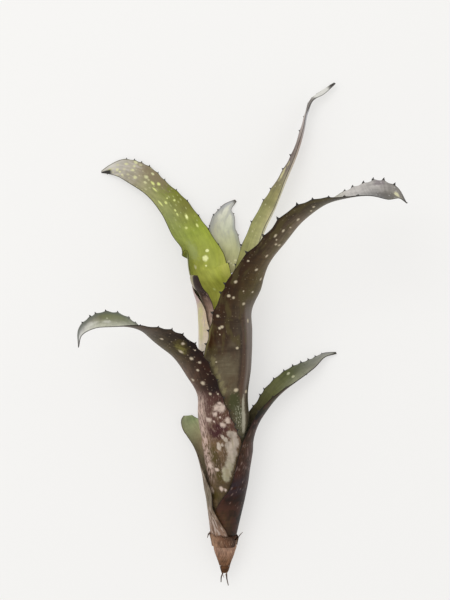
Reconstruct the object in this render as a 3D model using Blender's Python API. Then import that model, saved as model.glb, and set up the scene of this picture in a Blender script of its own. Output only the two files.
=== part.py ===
"""A young billbergia offset, cut from its mother plant and laid on its back.

The leaves wrap round each other in a tube, oldest outside, and each blade leaves the tube at
its own height. Every leaf is one solid, seated on the short tapering stem inside the tube.
Lengths are in millimetres until a mesh is made. +Y runs from the cut end to the leaf tips,
+Z is up from the surface that the plant lies on, and angles round the tube are counted
from +X towards +Z.
"""

import math

import bmesh
import bpy
import numpy as np
from mathutils import Vector

MM = 0.001
ROUGHNESS = 0.5

# How the whole plant settles on the surface: degrees of turn about x, y and z, and the move.
PLANT_TURN = (0.631, -0.214, 0.0)
PLANT_PLACE = (-8.29, -145.03, -3.307)

# The tube: its axis rises from the surface, because the back leaves prop its open end up.
AXIS_LOW_HEIGHT = 60.0
AXIS_LOW_Z = 17.2
AXIS_RISE = math.radians(4.6)
TUBE_MIDDLE = ((20, -0.8), (45, 0.5), (75, 0.5), (105, -1.2), (150, -1.2), (165, -2.0), (178, -4.0))
TUBE_OUTSIDE = (
    (14, 7.2), (27, 9.3), (45, 12.5), (58, 14.9), (69, 16.0), (87, 16.4),
    (105, 16.0), (120, 16.2), (140, 16.9), (158, 16.9), (172, 17.4), (190, 17.4))

# The layers of the tube.
SHEATH_THICKNESS = 0.8
LAYER_PITCH = 1.6
SHEATH_ROW_STEP = 11.0
LEAVING_SPREAD = 18.0

# The leaf meshes.
SEGMENTS_ACROSS = 12
TIP_THICKNESS = 0.5
MARGIN_SHARE = 0.5
MARGIN_POWER = 8
TIP_POWER = 3
BLADE_TURN = 0.35
TIP_HALF_WIDTH = 0.6
BLADE_ROW_STEP = 6.0


class Leaf:
    """One leaf: which layer of the tube it is, what it covers at each height, and its blade.

    wraps holds (height, angle where it starts, angle where it ends); its last height is where the
    blade leaves the tube. blade holds one station for each bend: the midrib point, half width
    along the surface, half angle of the channel, and the way that the upper face looks.
    """

    def __init__(self, name, layer, wraps, blade, colour):
        self.name = name
        self.layer = layer
        self.base = wraps[0][0]
        self.leaving = wraps[-1][0]
        self.starts = [(height, start) for height, start, _ in wraps]
        self.ends = [(height, end) for height, _, end in wraps]
        self.blade = blade
        self.colour = colour


LEAVES = (
    Leaf("leaf_short_left", 0,
         ((22, 74, 328), (26, 83, 322), (32, 106, 310), (38, 127, 300), (42, 138, 292),
          (51, 135, 275), (62, 158, 250)),
         (((-16.3, 75.1, 7.9), 8.2, 34, (0.83, 0.10, 0.55)),
          ((-19.0, 84.1, 6.0), 8.1, 44, (0.50, 0.15, 0.85)),
          ((-22.9, 91.1, 4.8), 6.6, 38, (0.51, 0.22, 0.83)),
          ((-23.5, 94.2, 3.8), 2.9, 29, (0.44, 0.20, 0.87))),
         (0.16, 0.24, 0.08)),
    Leaf("leaf_lower_right", 1,
         ((24, -140, 148), (38, -132, 136), (43, -128, 122), (48, -122, 103), (54, -114, 82),
          (62, -106, 72), (74, -96, 63), (80, -90, 56)),
         (((19.1, 90.3, 12.8), 13.3, 63, (-0.96, 0.14, 0.23)),
          ((24.8, 98.9, 11.2), 11.1, 69, (-0.86, 0.46, 0.22)),
          ((31.8, 108.8, 9.5), 9.1, 68, (-0.61, 0.60, 0.52)),
          ((40.6, 116.9, 7.5), 8.0, 50, (-0.49, 0.60, 0.64)),
          ((52.7, 124.7, 5.3), 5.8, 41, (-0.47, 0.66, 0.59)),
          ((60.6, 130.9, 3.4), 2.4, 35, (-0.42, 0.70, 0.58)),
          ((67.6, 132.5, 2.2), 0.8, 31, (-0.31, 0.72, 0.63))),
         (0.15, 0.09, 0.10)),
    Leaf("leaf_lower_left", 2,
         ((26, 10, 290), (60, 22, 278), (72, 38, 262), (83, 52, 250), (96, 72, 235), (108, 89, 210)),
         (((-18.1, 117.8, 36.6), 13.6, 59, (0.63, 0.30, -0.72)),
          ((-26.0, 132.4, 44.9), 13.0, 47, (0.49, 0.48, -0.73)),
          ((-39.2, 142.8, 51.9), 11.9, 37, (0.43, 0.73, -0.52)),
          ((-49.9, 148.3, 57.0), 10.8, 32, (0.36, 0.93, -0.07)),
          ((-62.2, 151.9, 59.2), 9.6, 30, (0.05, 0.91, 0.40)),
          ((-72.8, 152.2, 58.9), 7.3, 31, (-0.35, 0.73, 0.59)),
          ((-82.7, 146.3, 57.2), 3.9, 28, (-0.72, 0.37, 0.58)),
          ((-84.7, 138.0, 53.9), 0.8, 29, (-0.87, 0.11, 0.49))),
         (0.14, 0.09, 0.07)),
    Leaf("leaf_front_right", 3,
         ((30, -110, 190), (90, -100, 178), (120, -80, 152), (138, -60, 131), (147, -50, 124),
          (158, -35, 113)),
         (((12.9, 169.2, 43.9), 16.2, 63, (-0.48, 0.25, -0.84)),
          ((19.2, 183.8, 52.9), 13.5, 51, (-0.59, 0.41, -0.70)),
          ((28.6, 196.3, 61.2), 10.9, 43, (-0.58, 0.52, -0.63)),
          ((41.1, 211.1, 67.1), 9.7, 38, (-0.44, 0.73, -0.52)),
          ((53.6, 218.3, 70.9), 9.6, 29, (-0.35, 0.92, -0.19)),
          ((65.3, 221.8, 73.3), 9.4, 28, (-0.19, 0.97, 0.17)),
          ((78.7, 225.1, 73.0), 9.0, 29, (-0.01, 0.88, 0.47)),
          ((88.3, 225.6, 70.9), 9.1, 29, (0.16, 0.72, 0.68)),
          ((96.2, 224.5, 68.3), 5.6, 35, (0.40, 0.69, 0.60)),
          ((102.4, 220.0, 64.6), 0.8, 33, (0.61, 0.63, 0.48))),
         (0.12, 0.08, 0.05)),
    Leaf("leaf_back", 4,
         ((34, 100, 420), (100, 105, 410), (146, 121, 394), (154, 131, 378), (158, 133, 362),
          (162, 139, 340), (166, 150, 316), (170, 166, 296), (173.5, 185, 290), (177, 205, 285)),
         (((-1.4, 187.1, 8.2), 10.2, 32, (0.00, 0.05, 1.00)),
          ((-0.3, 197.4, 6.4), 9.8, 36, (0.02, 0.18, 0.98)),
          ((-2.1, 207.2, 4.4), 9.1, 40, (0.01, 0.24, 0.97)),
          ((-0.8, 216.2, 2.6), 7.0, 38, (0.04, 0.27, 0.96)),
          ((0.6, 221.0, 1.8), 3.7, 36, (0.10, 0.26, 0.96)),
          ((6.0, 226.1, 1.4), 0.8, 34, (0.15, 0.26, 0.95))),
         (0.38, 0.42, 0.34)),
    Leaf("leaf_upper_right", 5,
         ((38, -190, 110), (120, -182, 100), (142, -168, 88), (150, -152, 82), (158, -128, 76),
          (165, -98, 70)),
         (((11.2, 171, 18.2), 12.0, 54, (-0.85, 0.05, 0.52)),
          ((11.4, 177.2, 16.4), 8.7, 50, (-0.74, 0.10, 0.66)),
          ((16.0, 189.6, 15.6), 10.6, 58, (-0.77, 0.25, 0.58)),
          ((20.8, 204.6, 14.2), 10.0, 55, (-0.78, 0.34, 0.52)),
          ((28.3, 220.8, 12.4), 9.4, 51, (-0.79, 0.38, 0.48)),
          ((36.8, 239.6, 10.4), 7.4, 44, (-0.87, 0.39, 0.30)),
          ((43.2, 254.3, 8.6), 6.2, 39, (-0.92, 0.32, 0.23)),
          ((47.3, 267.7, 7.4), 5.4, 36, (-0.96, 0.22, 0.17)),
          ((50.0, 279.5, 6.4), 4.3, 34, (-0.95, 0.30, 0.08)),
          ((52.7, 286.6, 5.6), 3.0, 32, (-0.79, 0.56, 0.26)),
          ((58.7, 291.3, 4.2), 2.4, 29, (-0.45, 0.71, 0.54)),
          ((66.7, 297.8, 3.7), 0.8, 31, (-0.30, 0.75, 0.59))),
         (0.22, 0.24, 0.09)),
    Leaf("leaf_upper_left", 6,
         ((42, 90, 390), (120, 100, 384), (157, 115, 370), (163, 119, 364), (168, 124, 361)),
         (((-14.1, 177.4, 16.8), 24.8, 118, (0.47, -0.03, 0.88)),
          ((-17.0, 183.5, 16.4), 21.7, 98, (0.60, 0.06, 0.80)),
          ((-17.2, 188.9, 13.0), 18.5, 75, (0.40, 0.12, 0.91)),
          ((-19.0, 195.9, 11.4), 14.8, 65, (0.42, 0.16, 0.90)),
          ((-25.0, 206.6, 8.6), 13.3, 52, (0.37, 0.24, 0.90)),
          ((-32.5, 220.5, 6.0), 10.5, 45, (0.24, 0.32, 0.92)),
          ((-42.2, 231.7, 4.2), 8.5, 41, (0.13, 0.39, 0.91)),
          ((-52.1, 240.3, 3.0), 8.7, 36, (0.00, 0.35, 0.94)),
          ((-63.0, 244.8, 2.1), 6.9, 35, (-0.10, 0.30, 0.95)),
          ((-70.6, 244.6, 1.7), 3.6, 31, (-0.30, 0.23, 0.92)),
          ((-76.5, 243.5, 1.2), 0.8, 28, (-0.40, 0.15, 0.90))),
         (0.24, 0.33, 0.06)),
)

# The stem, and what is left on its cut end.
STEM_STUB = ((0.0, 1.5), (0.6, 2.0), (5, 2.7), (8, 3.6), (12, 4.3), (17, 5.0), (20, 6.0))
STEM_TOP = 45.0
STEM_TOP_RADIUS = 0.7
STEM_SIDES = 20
STEM_COLOUR = (0.35, 0.22, 0.12)
SEAT_GAP = 0.45

BRACT_THICKNESS = 0.6
BRACTS = (
    ("bract_lower", ((5, 3.3), (8, 4.3), (12, 5.6), (15, 6.35), (17.5, 6.9)),
     ((5, -160, 172), (12, -150, 170), (14, -110, 156), (16, -50, 134), (17.5, 20, 100))),
    ("bract_upper", ((13.5, 7.05), (19, 8.5), (22, 9.7), (24.5, 10.95)),
     ((13.5, 30, 368), (20, 36, 362), (22, 50, 330), (24.5, 82, 268))),
)
BRACT_ROW_STEP = 0.6
BRACT_COLOUR = (0.42, 0.30, 0.18)

ROOT_SIDES = 6
ROOT_COLOUR = (0.25, 0.17, 0.10)
ROOTS = (
    ("root_left", (((-1.9, -0.6, 11.4), 0.40), ((-2.8, -3.0, 10.6), 0.36), ((-3.0, -6.5, 9.0), 0.28))),
    ("root_right", (((0.3, -0.5, 12.9), 0.45), ((0.5, -3.5, 12.8), 0.38), ((1.4, -8.0, 11.6), 0.25))),
)


def axis_frame(height):
    """The tube's axis at a height: the point, its course, and the tube's own upward direction."""
    rise = (height - AXIS_LOW_HEIGHT) * math.tan(AXIS_RISE)
    point = Vector((read_table(TUBE_MIDDLE, height), height, AXIS_LOW_Z + rise))
    along = Vector((0, math.cos(AXIS_RISE), math.sin(AXIS_RISE)))
    up = Vector((0, -math.sin(AXIS_RISE), math.cos(AXIS_RISE)))
    return point, along, up


def round_tube(angle, up):
    """The direction away from the tube's axis at an angle round it."""
    return Vector((1, 0, 0)) * math.cos(angle) + up * math.sin(angle)


def read_table(table, at):
    """The value of a table of (place, value) pairs at a place, on straight lines between them."""
    places, values = zip(*table)
    return float(np.interp(at, places, values))


def layers_outside(layer, height):
    """How many older leaves still wrap round a layer; each drops out smoothly as it leaves the tube."""
    count = 0.0
    for other in LEAVES:
        if other.layer < layer:
            gone = min(max((height - other.leaving) / LEAVING_SPREAD, 0.0), 1.0)
            count += 1.0 - gone * gone * (3 - 2 * gone)
    return count


def sheath_radius(layer, height):
    """The radius of the middle of a layer's wall inside the tube."""
    outside = read_table(TUBE_OUTSIDE, height)
    return outside - SHEATH_THICKNESS / 2 - LAYER_PITCH * layers_outside(layer, height)


def row_heights(table, step):
    """Every height in a table of (height, value) pairs, with the longer stretches divided up."""
    heights = [table[0][0]]
    for (low, _), (high, _) in zip(table, table[1:]):
        heights += list(np.linspace(low, high, 1 + max(1, round((high - low) / step))))[1:]
    return heights


def stations(leaf):
    """Every station of a leaf as a row of numbers, and how many of them lie in the tube.

    A row holds the midrib point, the way that the upper face looks, the half width, the half
    angle, and how far the leaf has left the tube there.
    """
    rows = []
    heights = row_heights(leaf.starts, SHEATH_ROW_STEP)
    for height in heights:
        centre, _, up = axis_frame(height)
        start = math.radians(read_table(leaf.starts, height))
        end = math.radians(read_table(leaf.ends, height))
        out = round_tube((start + end) / 2, up)
        radius = sheath_radius(leaf.layer, height)
        half = (end - start) / 2
        rows.append([*(centre + out * radius), *(-out), radius * half, half, 0.0])
    for index, (point, half_width, half_angle, facing) in enumerate(leaf.blade, 1):
        facing = Vector(facing).normalized()
        turned_off = min(BLADE_TURN * index, 1)
        rows.append([*point, *facing, half_width, math.radians(half_angle), turned_off])
    return np.array(rows), len(heights)


def smooth_between(rows, places, wanted):
    """Values on a smooth curve through the rows, which stand at the given places, and the curve's slope."""
    steps = np.diff(places)[:, None]
    slopes = np.diff(rows, axis=0) / steps
    inner = (slopes[:-1] * steps[1:] + slopes[1:] * steps[:-1]) / (steps[:-1] + steps[1:])
    tangents = np.vstack([slopes[:1], inner, slopes[-1:]])
    index = np.clip(np.searchsorted(places, wanted, side="right") - 1, 0, len(places) - 2)
    step = steps[index]
    share = (wanted - places[index])[:, None] / step
    a, b = rows[index], rows[index + 1]
    ta, tb = tangents[index] * step, tangents[index + 1] * step
    values = (a * (1 + 2 * share) * (1 - share) ** 2 + ta * share * (1 - share) ** 2
              + b * share**2 * (3 - 2 * share) - tb * share**2 * (1 - share))
    slope = (6 * (b - a) * share * (1 - share) + ta * (1 - share) * (1 - 3 * share)
             - tb * share * (2 - 3 * share)) / step
    return values, slope


def cross_section(midrib, facing, side, half_width, half_angle, thickness):
    """One closed ring of points: a curved strip's lower face, edge to edge, and its upper face back."""
    radius = half_width / half_angle
    under, over = [], []
    for share in np.linspace(-1, 1, SEGMENTS_ACROSS + 1):
        angle = share * half_angle
        point = midrib + side * (radius * math.sin(angle)) + facing * (radius * (1 - math.cos(angle)))
        normal = facing * math.cos(angle) - side * math.sin(angle)
        half = thickness / 2 * (1 - (1 - MARGIN_SHARE) * share**MARGIN_POWER)
        under.append(point - normal * half)
        over.append(point + normal * half)
    return under + over[::-1]


def leaf_rings(leaf):
    """Closed rings of points round a leaf, from its base to its tip."""
    rows, sheath_count = stations(leaf)
    lengths = np.linalg.norm(np.diff(rows[:, :3], axis=0), axis=1)
    places = np.concatenate([[0.0], np.cumsum(lengths)])
    mouth = places[sheath_count - 1]
    blade_rows = round((places[-1] - mouth) / BLADE_ROW_STEP)
    wanted = np.concatenate([places[:sheath_count], np.linspace(mouth, places[-1], blade_rows + 1)[1:]])
    values, slopes = smooth_between(rows, places, wanted)
    _, along, _ = axis_frame(0)
    rings = []
    for row, slope, place in zip(values, slopes, wanted):
        midrib, facing = Vector(row[:3]), Vector(row[3:6]).normalized()
        half_width, half_angle, turned_off = row[6:]
        course = along.lerp(Vector(slope[:3]).normalized(), min(max(turned_off, 0), 1)).normalized()
        side = course.cross(facing).normalized()
        facing = side.cross(course)
        past = min(max((place - mouth) / (places[-1] - mouth), 0), 1)
        thickness = SHEATH_THICKNESS + (TIP_THICKNESS - SHEATH_THICKNESS) * past**TIP_POWER
        half_width = max(half_width, TIP_HALF_WIDTH)
        rings.append(cross_section(midrib, facing, side, half_width, half_angle, thickness))
    return rings


def bract_rings(radii, wraps):
    """Closed rings of points round a dry scale that wraps the foot of the stem."""
    starts = [(height, start) for height, start, _ in wraps]
    ends = [(height, end) for height, _, end in wraps]
    rings = []
    for height in row_heights(starts, BRACT_ROW_STEP):
        centre, along, up = axis_frame(height)
        start = math.radians(read_table(starts, height))
        end = math.radians(read_table(ends, height))
        out = round_tube((start + end) / 2, up)
        radius = read_table(radii, height)
        half = (end - start) / 2
        side = along.cross(-out)
        middle = centre + out * radius
        rings.append(cross_section(middle, -out, side, radius * half, half, BRACT_THICKNESS))
    return rings


def root_rings(stations_down):
    """Rings of points round a thin root that follows the given (point, radius) stations."""
    points = [Vector(point) for point, _ in stations_down]
    rings = []
    for index, (point, (_, radius)) in enumerate(zip(points, stations_down)):
        course = (points[min(index + 1, len(points) - 1)] - points[max(index - 1, 0)]).normalized()
        side = course.cross(Vector((0, 0, 1))).normalized()
        over = side.cross(course)
        ring = []
        for i in range(ROOT_SIDES):
            turn = math.tau * i / ROOT_SIDES
            ring.append(point + (side * math.cos(turn) + over * math.sin(turn)) * radius)
        rings.append(ring)
    return rings


def skin(name, rings, colour, plant):
    """One closed mesh object: walls between rings that run out and back, and a strip over each end."""
    mesh = bmesh.new()
    made = [[mesh.verts.new(Vector(point) * MM) for point in ring] for ring in rings]
    count = len(made[0])
    for lower, upper in zip(made, made[1:]):
        for i in range(count):
            j = (i + 1) % count
            mesh.faces.new((lower[i], lower[j], upper[j], upper[i]))
    for ring, first in ((made[0], True), (made[-1], False)):
        for i in range(count // 2 - 1):
            corners = (ring[i], ring[count - 1 - i], ring[count - 2 - i], ring[i + 1])
            mesh.faces.new(corners if first else corners[::-1])
    bmesh.ops.recalc_face_normals(mesh, faces=mesh.faces)
    data = bpy.data.meshes.new(name)
    mesh.to_mesh(data)
    mesh.free()
    place_object(name, data, colour, plant)


def stem_profile():
    """(height, radius) down the stem: the stub, then a taper just inside the foot of each leaf."""
    profile = list(STEM_STUB)
    for leaf in LEAVES:
        inside = sheath_radius(leaf.layer, leaf.base) - SHEATH_THICKNESS / 2 - SEAT_GAP
        profile.append((leaf.base, inside))
    return profile + [(STEM_TOP, STEM_TOP_RADIUS)]


def stem_rings():
    """Rings of points round the stem, which stands on the tube's axis."""
    rings = []
    for height, radius in stem_profile():
        middle, _, up = axis_frame(height)
        turns = [math.tau * i / STEM_SIDES for i in range(STEM_SIDES)]
        rings.append([middle + round_tube(turn, up) * radius for turn in turns])
    return rings


def place_object(name, data, colour, plant):
    """A named object with its own material, hung on the plant's own empty."""
    data.shade_smooth()
    material = bpy.data.materials.new(name)
    material.use_nodes = True
    shader = material.node_tree.nodes["Principled BSDF"]
    shader.inputs["Base Color"].default_value = (*colour, 1)
    shader.inputs["Roughness"].default_value = ROUGHNESS
    data.materials.append(material)
    obj = bpy.data.objects.new(name, data)
    obj.parent = plant
    bpy.context.scene.collection.objects.link(obj)


def main():
    for obj in list(bpy.data.objects):
        bpy.data.objects.remove(obj)
    plant = bpy.data.objects.new("plant", None)
    bpy.context.scene.collection.objects.link(plant)
    plant.location = Vector(PLANT_PLACE) * MM
    plant.rotation_euler = [math.radians(turn) for turn in PLANT_TURN]
    for leaf in LEAVES:
        skin(leaf.name, leaf_rings(leaf), leaf.colour, plant)
    skin("stem", stem_rings(), STEM_COLOUR, plant)
    for name, radii, wraps in BRACTS:
        skin(name, bract_rings(radii, wraps), BRACT_COLOUR, plant)
    for name, stations_down in ROOTS:
        skin(name, root_rings(stations_down), ROOT_COLOUR, plant)


main()
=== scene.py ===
"""A young billbergia offset, cut from its mother plant and laid on its back: the finished look.

Every leaf, the stem, its dry scales and its roots are built again round the CAD frame, with fine
edges, spines and a skin that is worked out from the leaf's own surface coordinates.
Lengths are in millimetres until a mesh is made. +Y runs from the cut end to the leaf tips,
+Z is up from the surface that the plant lies on, and angles round the tube are counted
from +X towards +Z. A leaf's upper face is its inner one, and its lower face is its outer one.
"""

import math

import bmesh
import bpy
import numpy as np
from bpy.props import FloatProperty, FloatVectorProperty, PointerProperty
from bpy.types import Operator, Panel, PropertyGroup
from mathutils import Matrix, Vector


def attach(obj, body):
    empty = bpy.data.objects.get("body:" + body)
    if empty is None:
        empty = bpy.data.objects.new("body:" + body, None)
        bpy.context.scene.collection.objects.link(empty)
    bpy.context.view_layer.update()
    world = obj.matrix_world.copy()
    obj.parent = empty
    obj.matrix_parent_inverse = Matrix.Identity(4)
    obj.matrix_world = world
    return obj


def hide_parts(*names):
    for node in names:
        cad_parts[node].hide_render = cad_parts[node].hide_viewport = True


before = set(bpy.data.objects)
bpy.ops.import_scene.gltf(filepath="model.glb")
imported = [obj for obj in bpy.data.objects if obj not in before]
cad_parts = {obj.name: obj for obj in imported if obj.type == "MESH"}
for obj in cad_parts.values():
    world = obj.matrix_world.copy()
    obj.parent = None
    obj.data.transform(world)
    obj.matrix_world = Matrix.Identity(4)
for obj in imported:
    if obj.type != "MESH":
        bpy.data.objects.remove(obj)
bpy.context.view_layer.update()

bl_info = {
    "name": "Billbergia offset",
    "version": (1, 0, 0),
    "blender": (4, 5, 0),
    "location": "3D View > Sidebar > Billbergia",
    "description": "Builds a young billbergia with spiny, flecked leaves that wrap in a tube",
    "category": "Add Mesh",
}

MM = 0.001

# How the whole plant settles on the surface: its degrees of turn about x and y, and its move.
PLANT_TURN = (0.631, -0.214)
PLANT_PLACE = (-8.29, -145.03, -3.307)

# The tube: its axis rises from the surface, because the back leaves prop its open end up.
# TUBE_MIDDLE says how far the axis lies to the right at some heights along the plant, and
# TUBE_OUTSIDE how far the outermost wall is from it.
AXIS_LOW_HEIGHT = 60.0
AXIS_LOW_Z = 17.2
AXIS_RISE = math.radians(4.6)
ALONG = np.array((0, math.cos(AXIS_RISE), math.sin(AXIS_RISE)))
ACROSS = np.array((1.0, 0.0, 0.0))
OVER = np.array((0, -math.sin(AXIS_RISE), math.cos(AXIS_RISE)))
TUBE_MIDDLE = ((20, -0.8), (45, 0.5), (75, 0.5), (105, -1.2), (150, -1.2), (165, -2.0), (178, -4.0))
TUBE_OUTSIDE = (
    (14, 7.2), (27, 9.3), (45, 12.5), (58, 14.9), (69, 16.0), (87, 16.4),
    (105, 16.0), (120, 16.2), (140, 16.9), (158, 16.9), (172, 17.4), (190, 17.4))

# The layers of the tube: each leaf's sheath lies inside those of the older leaves.
SHEATH_THICKNESS = 0.8
LAYER_PITCH = 1.6
SHEATH_ROW_STEP = 11.0
LEAVING_SPREAD = 18.0

# The leaf meshes: how finely they are drawn, and how their edges are shaped.
ROW_STEP = 0.9
COLUMNS = 57
EDGE_CROWDING = 0.45
TIP_THICKNESS = 0.5
MARGIN_SHARE = 0.35
MARGIN_POWER = 10
TIP_POWER = 3
BLADE_TURN = 0.35
TIP_HALF_WIDTH = 0.15
TOOTH_POWER = 8
EDGE_CURVE = 1.6
TOOTH_SHARE = 0.12

# The waves over a leaf: their length, how they shift from leaf to leaf and across it, how strong
# they are along the midrib, and how much stronger along the edges.
RIPPLES = ((11, 2.1, 1.5, 0.35, 0.65), (4.3, 1.3, -2.2, 0.0, 0.35))
SHEATH_RIPPLE = 0.25

# The columns of a strip's rows of numbers, as wrapped_rows gives them.
MIDRIB, FACING, HALF_WIDTH, HALF_ANGLE, TURNED_OFF = slice(0, 3), slice(3, 6), 6, 7, 8

# The spines: how finely they are drawn, and how they sink in, lean, taper and grow with the leaf.
SPINE_SIDES = 8
SPINE_RINGS = 6
SPINE_SUNK = 0.35
SPINE_LEAN = 0.35
SPINE_TAPER = 0.9
SPINE_THICKNESS = 0.6
SPINE_TIP = 0.03
SPINE_SCALE_BASE = 0.35
SPINE_FULL_WIDTH = 9.0

# What a mesh stores for its skin to read.
SURFACE_MAP = "surface"
PLACE_DATA = "place"


def edges_of(wraps):
    """Tables of (height, angle) for the start edge and the end edge of a strip that wraps round."""
    return [[(height, angles[edge]) for height, *angles in wraps] for edge in (0, 1)]


class Leaf:
    """One leaf: which layer of the tube it is, what it covers at each height, its blade and spines.

    wraps holds (height, angle where it starts, angle where it ends); its last height is where the
    blade leaves the tube. blade holds one station for each bend: the midrib point, half width
    along the surface, half angle of the channel, and the way that the upper face looks.
    start_spines and end_spines hold the distance of each spine from the leaf's foot. spine_size and
    scallop say how large its spines are, and how deep its edge draws in, beside the common size.
    start_cut holds (distance from the foot, how far the start edge is cut back there).
    """

    def __init__(self, layer, wraps, blade, start_spines=(), end_spines=(), spine_size=1.0,
                 scallop=1.0, start_cut=((0, 0), (1, 0))):
        self.layer = layer
        self.base = wraps[0][0]
        self.leaving = wraps[-1][0]
        self.starts, self.ends = edges_of(wraps)
        self.blade = blade
        self.spines = (start_spines, end_spines)
        self.spine_size = spine_size
        self.scallop = scallop
        self.start_cut = start_cut


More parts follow.
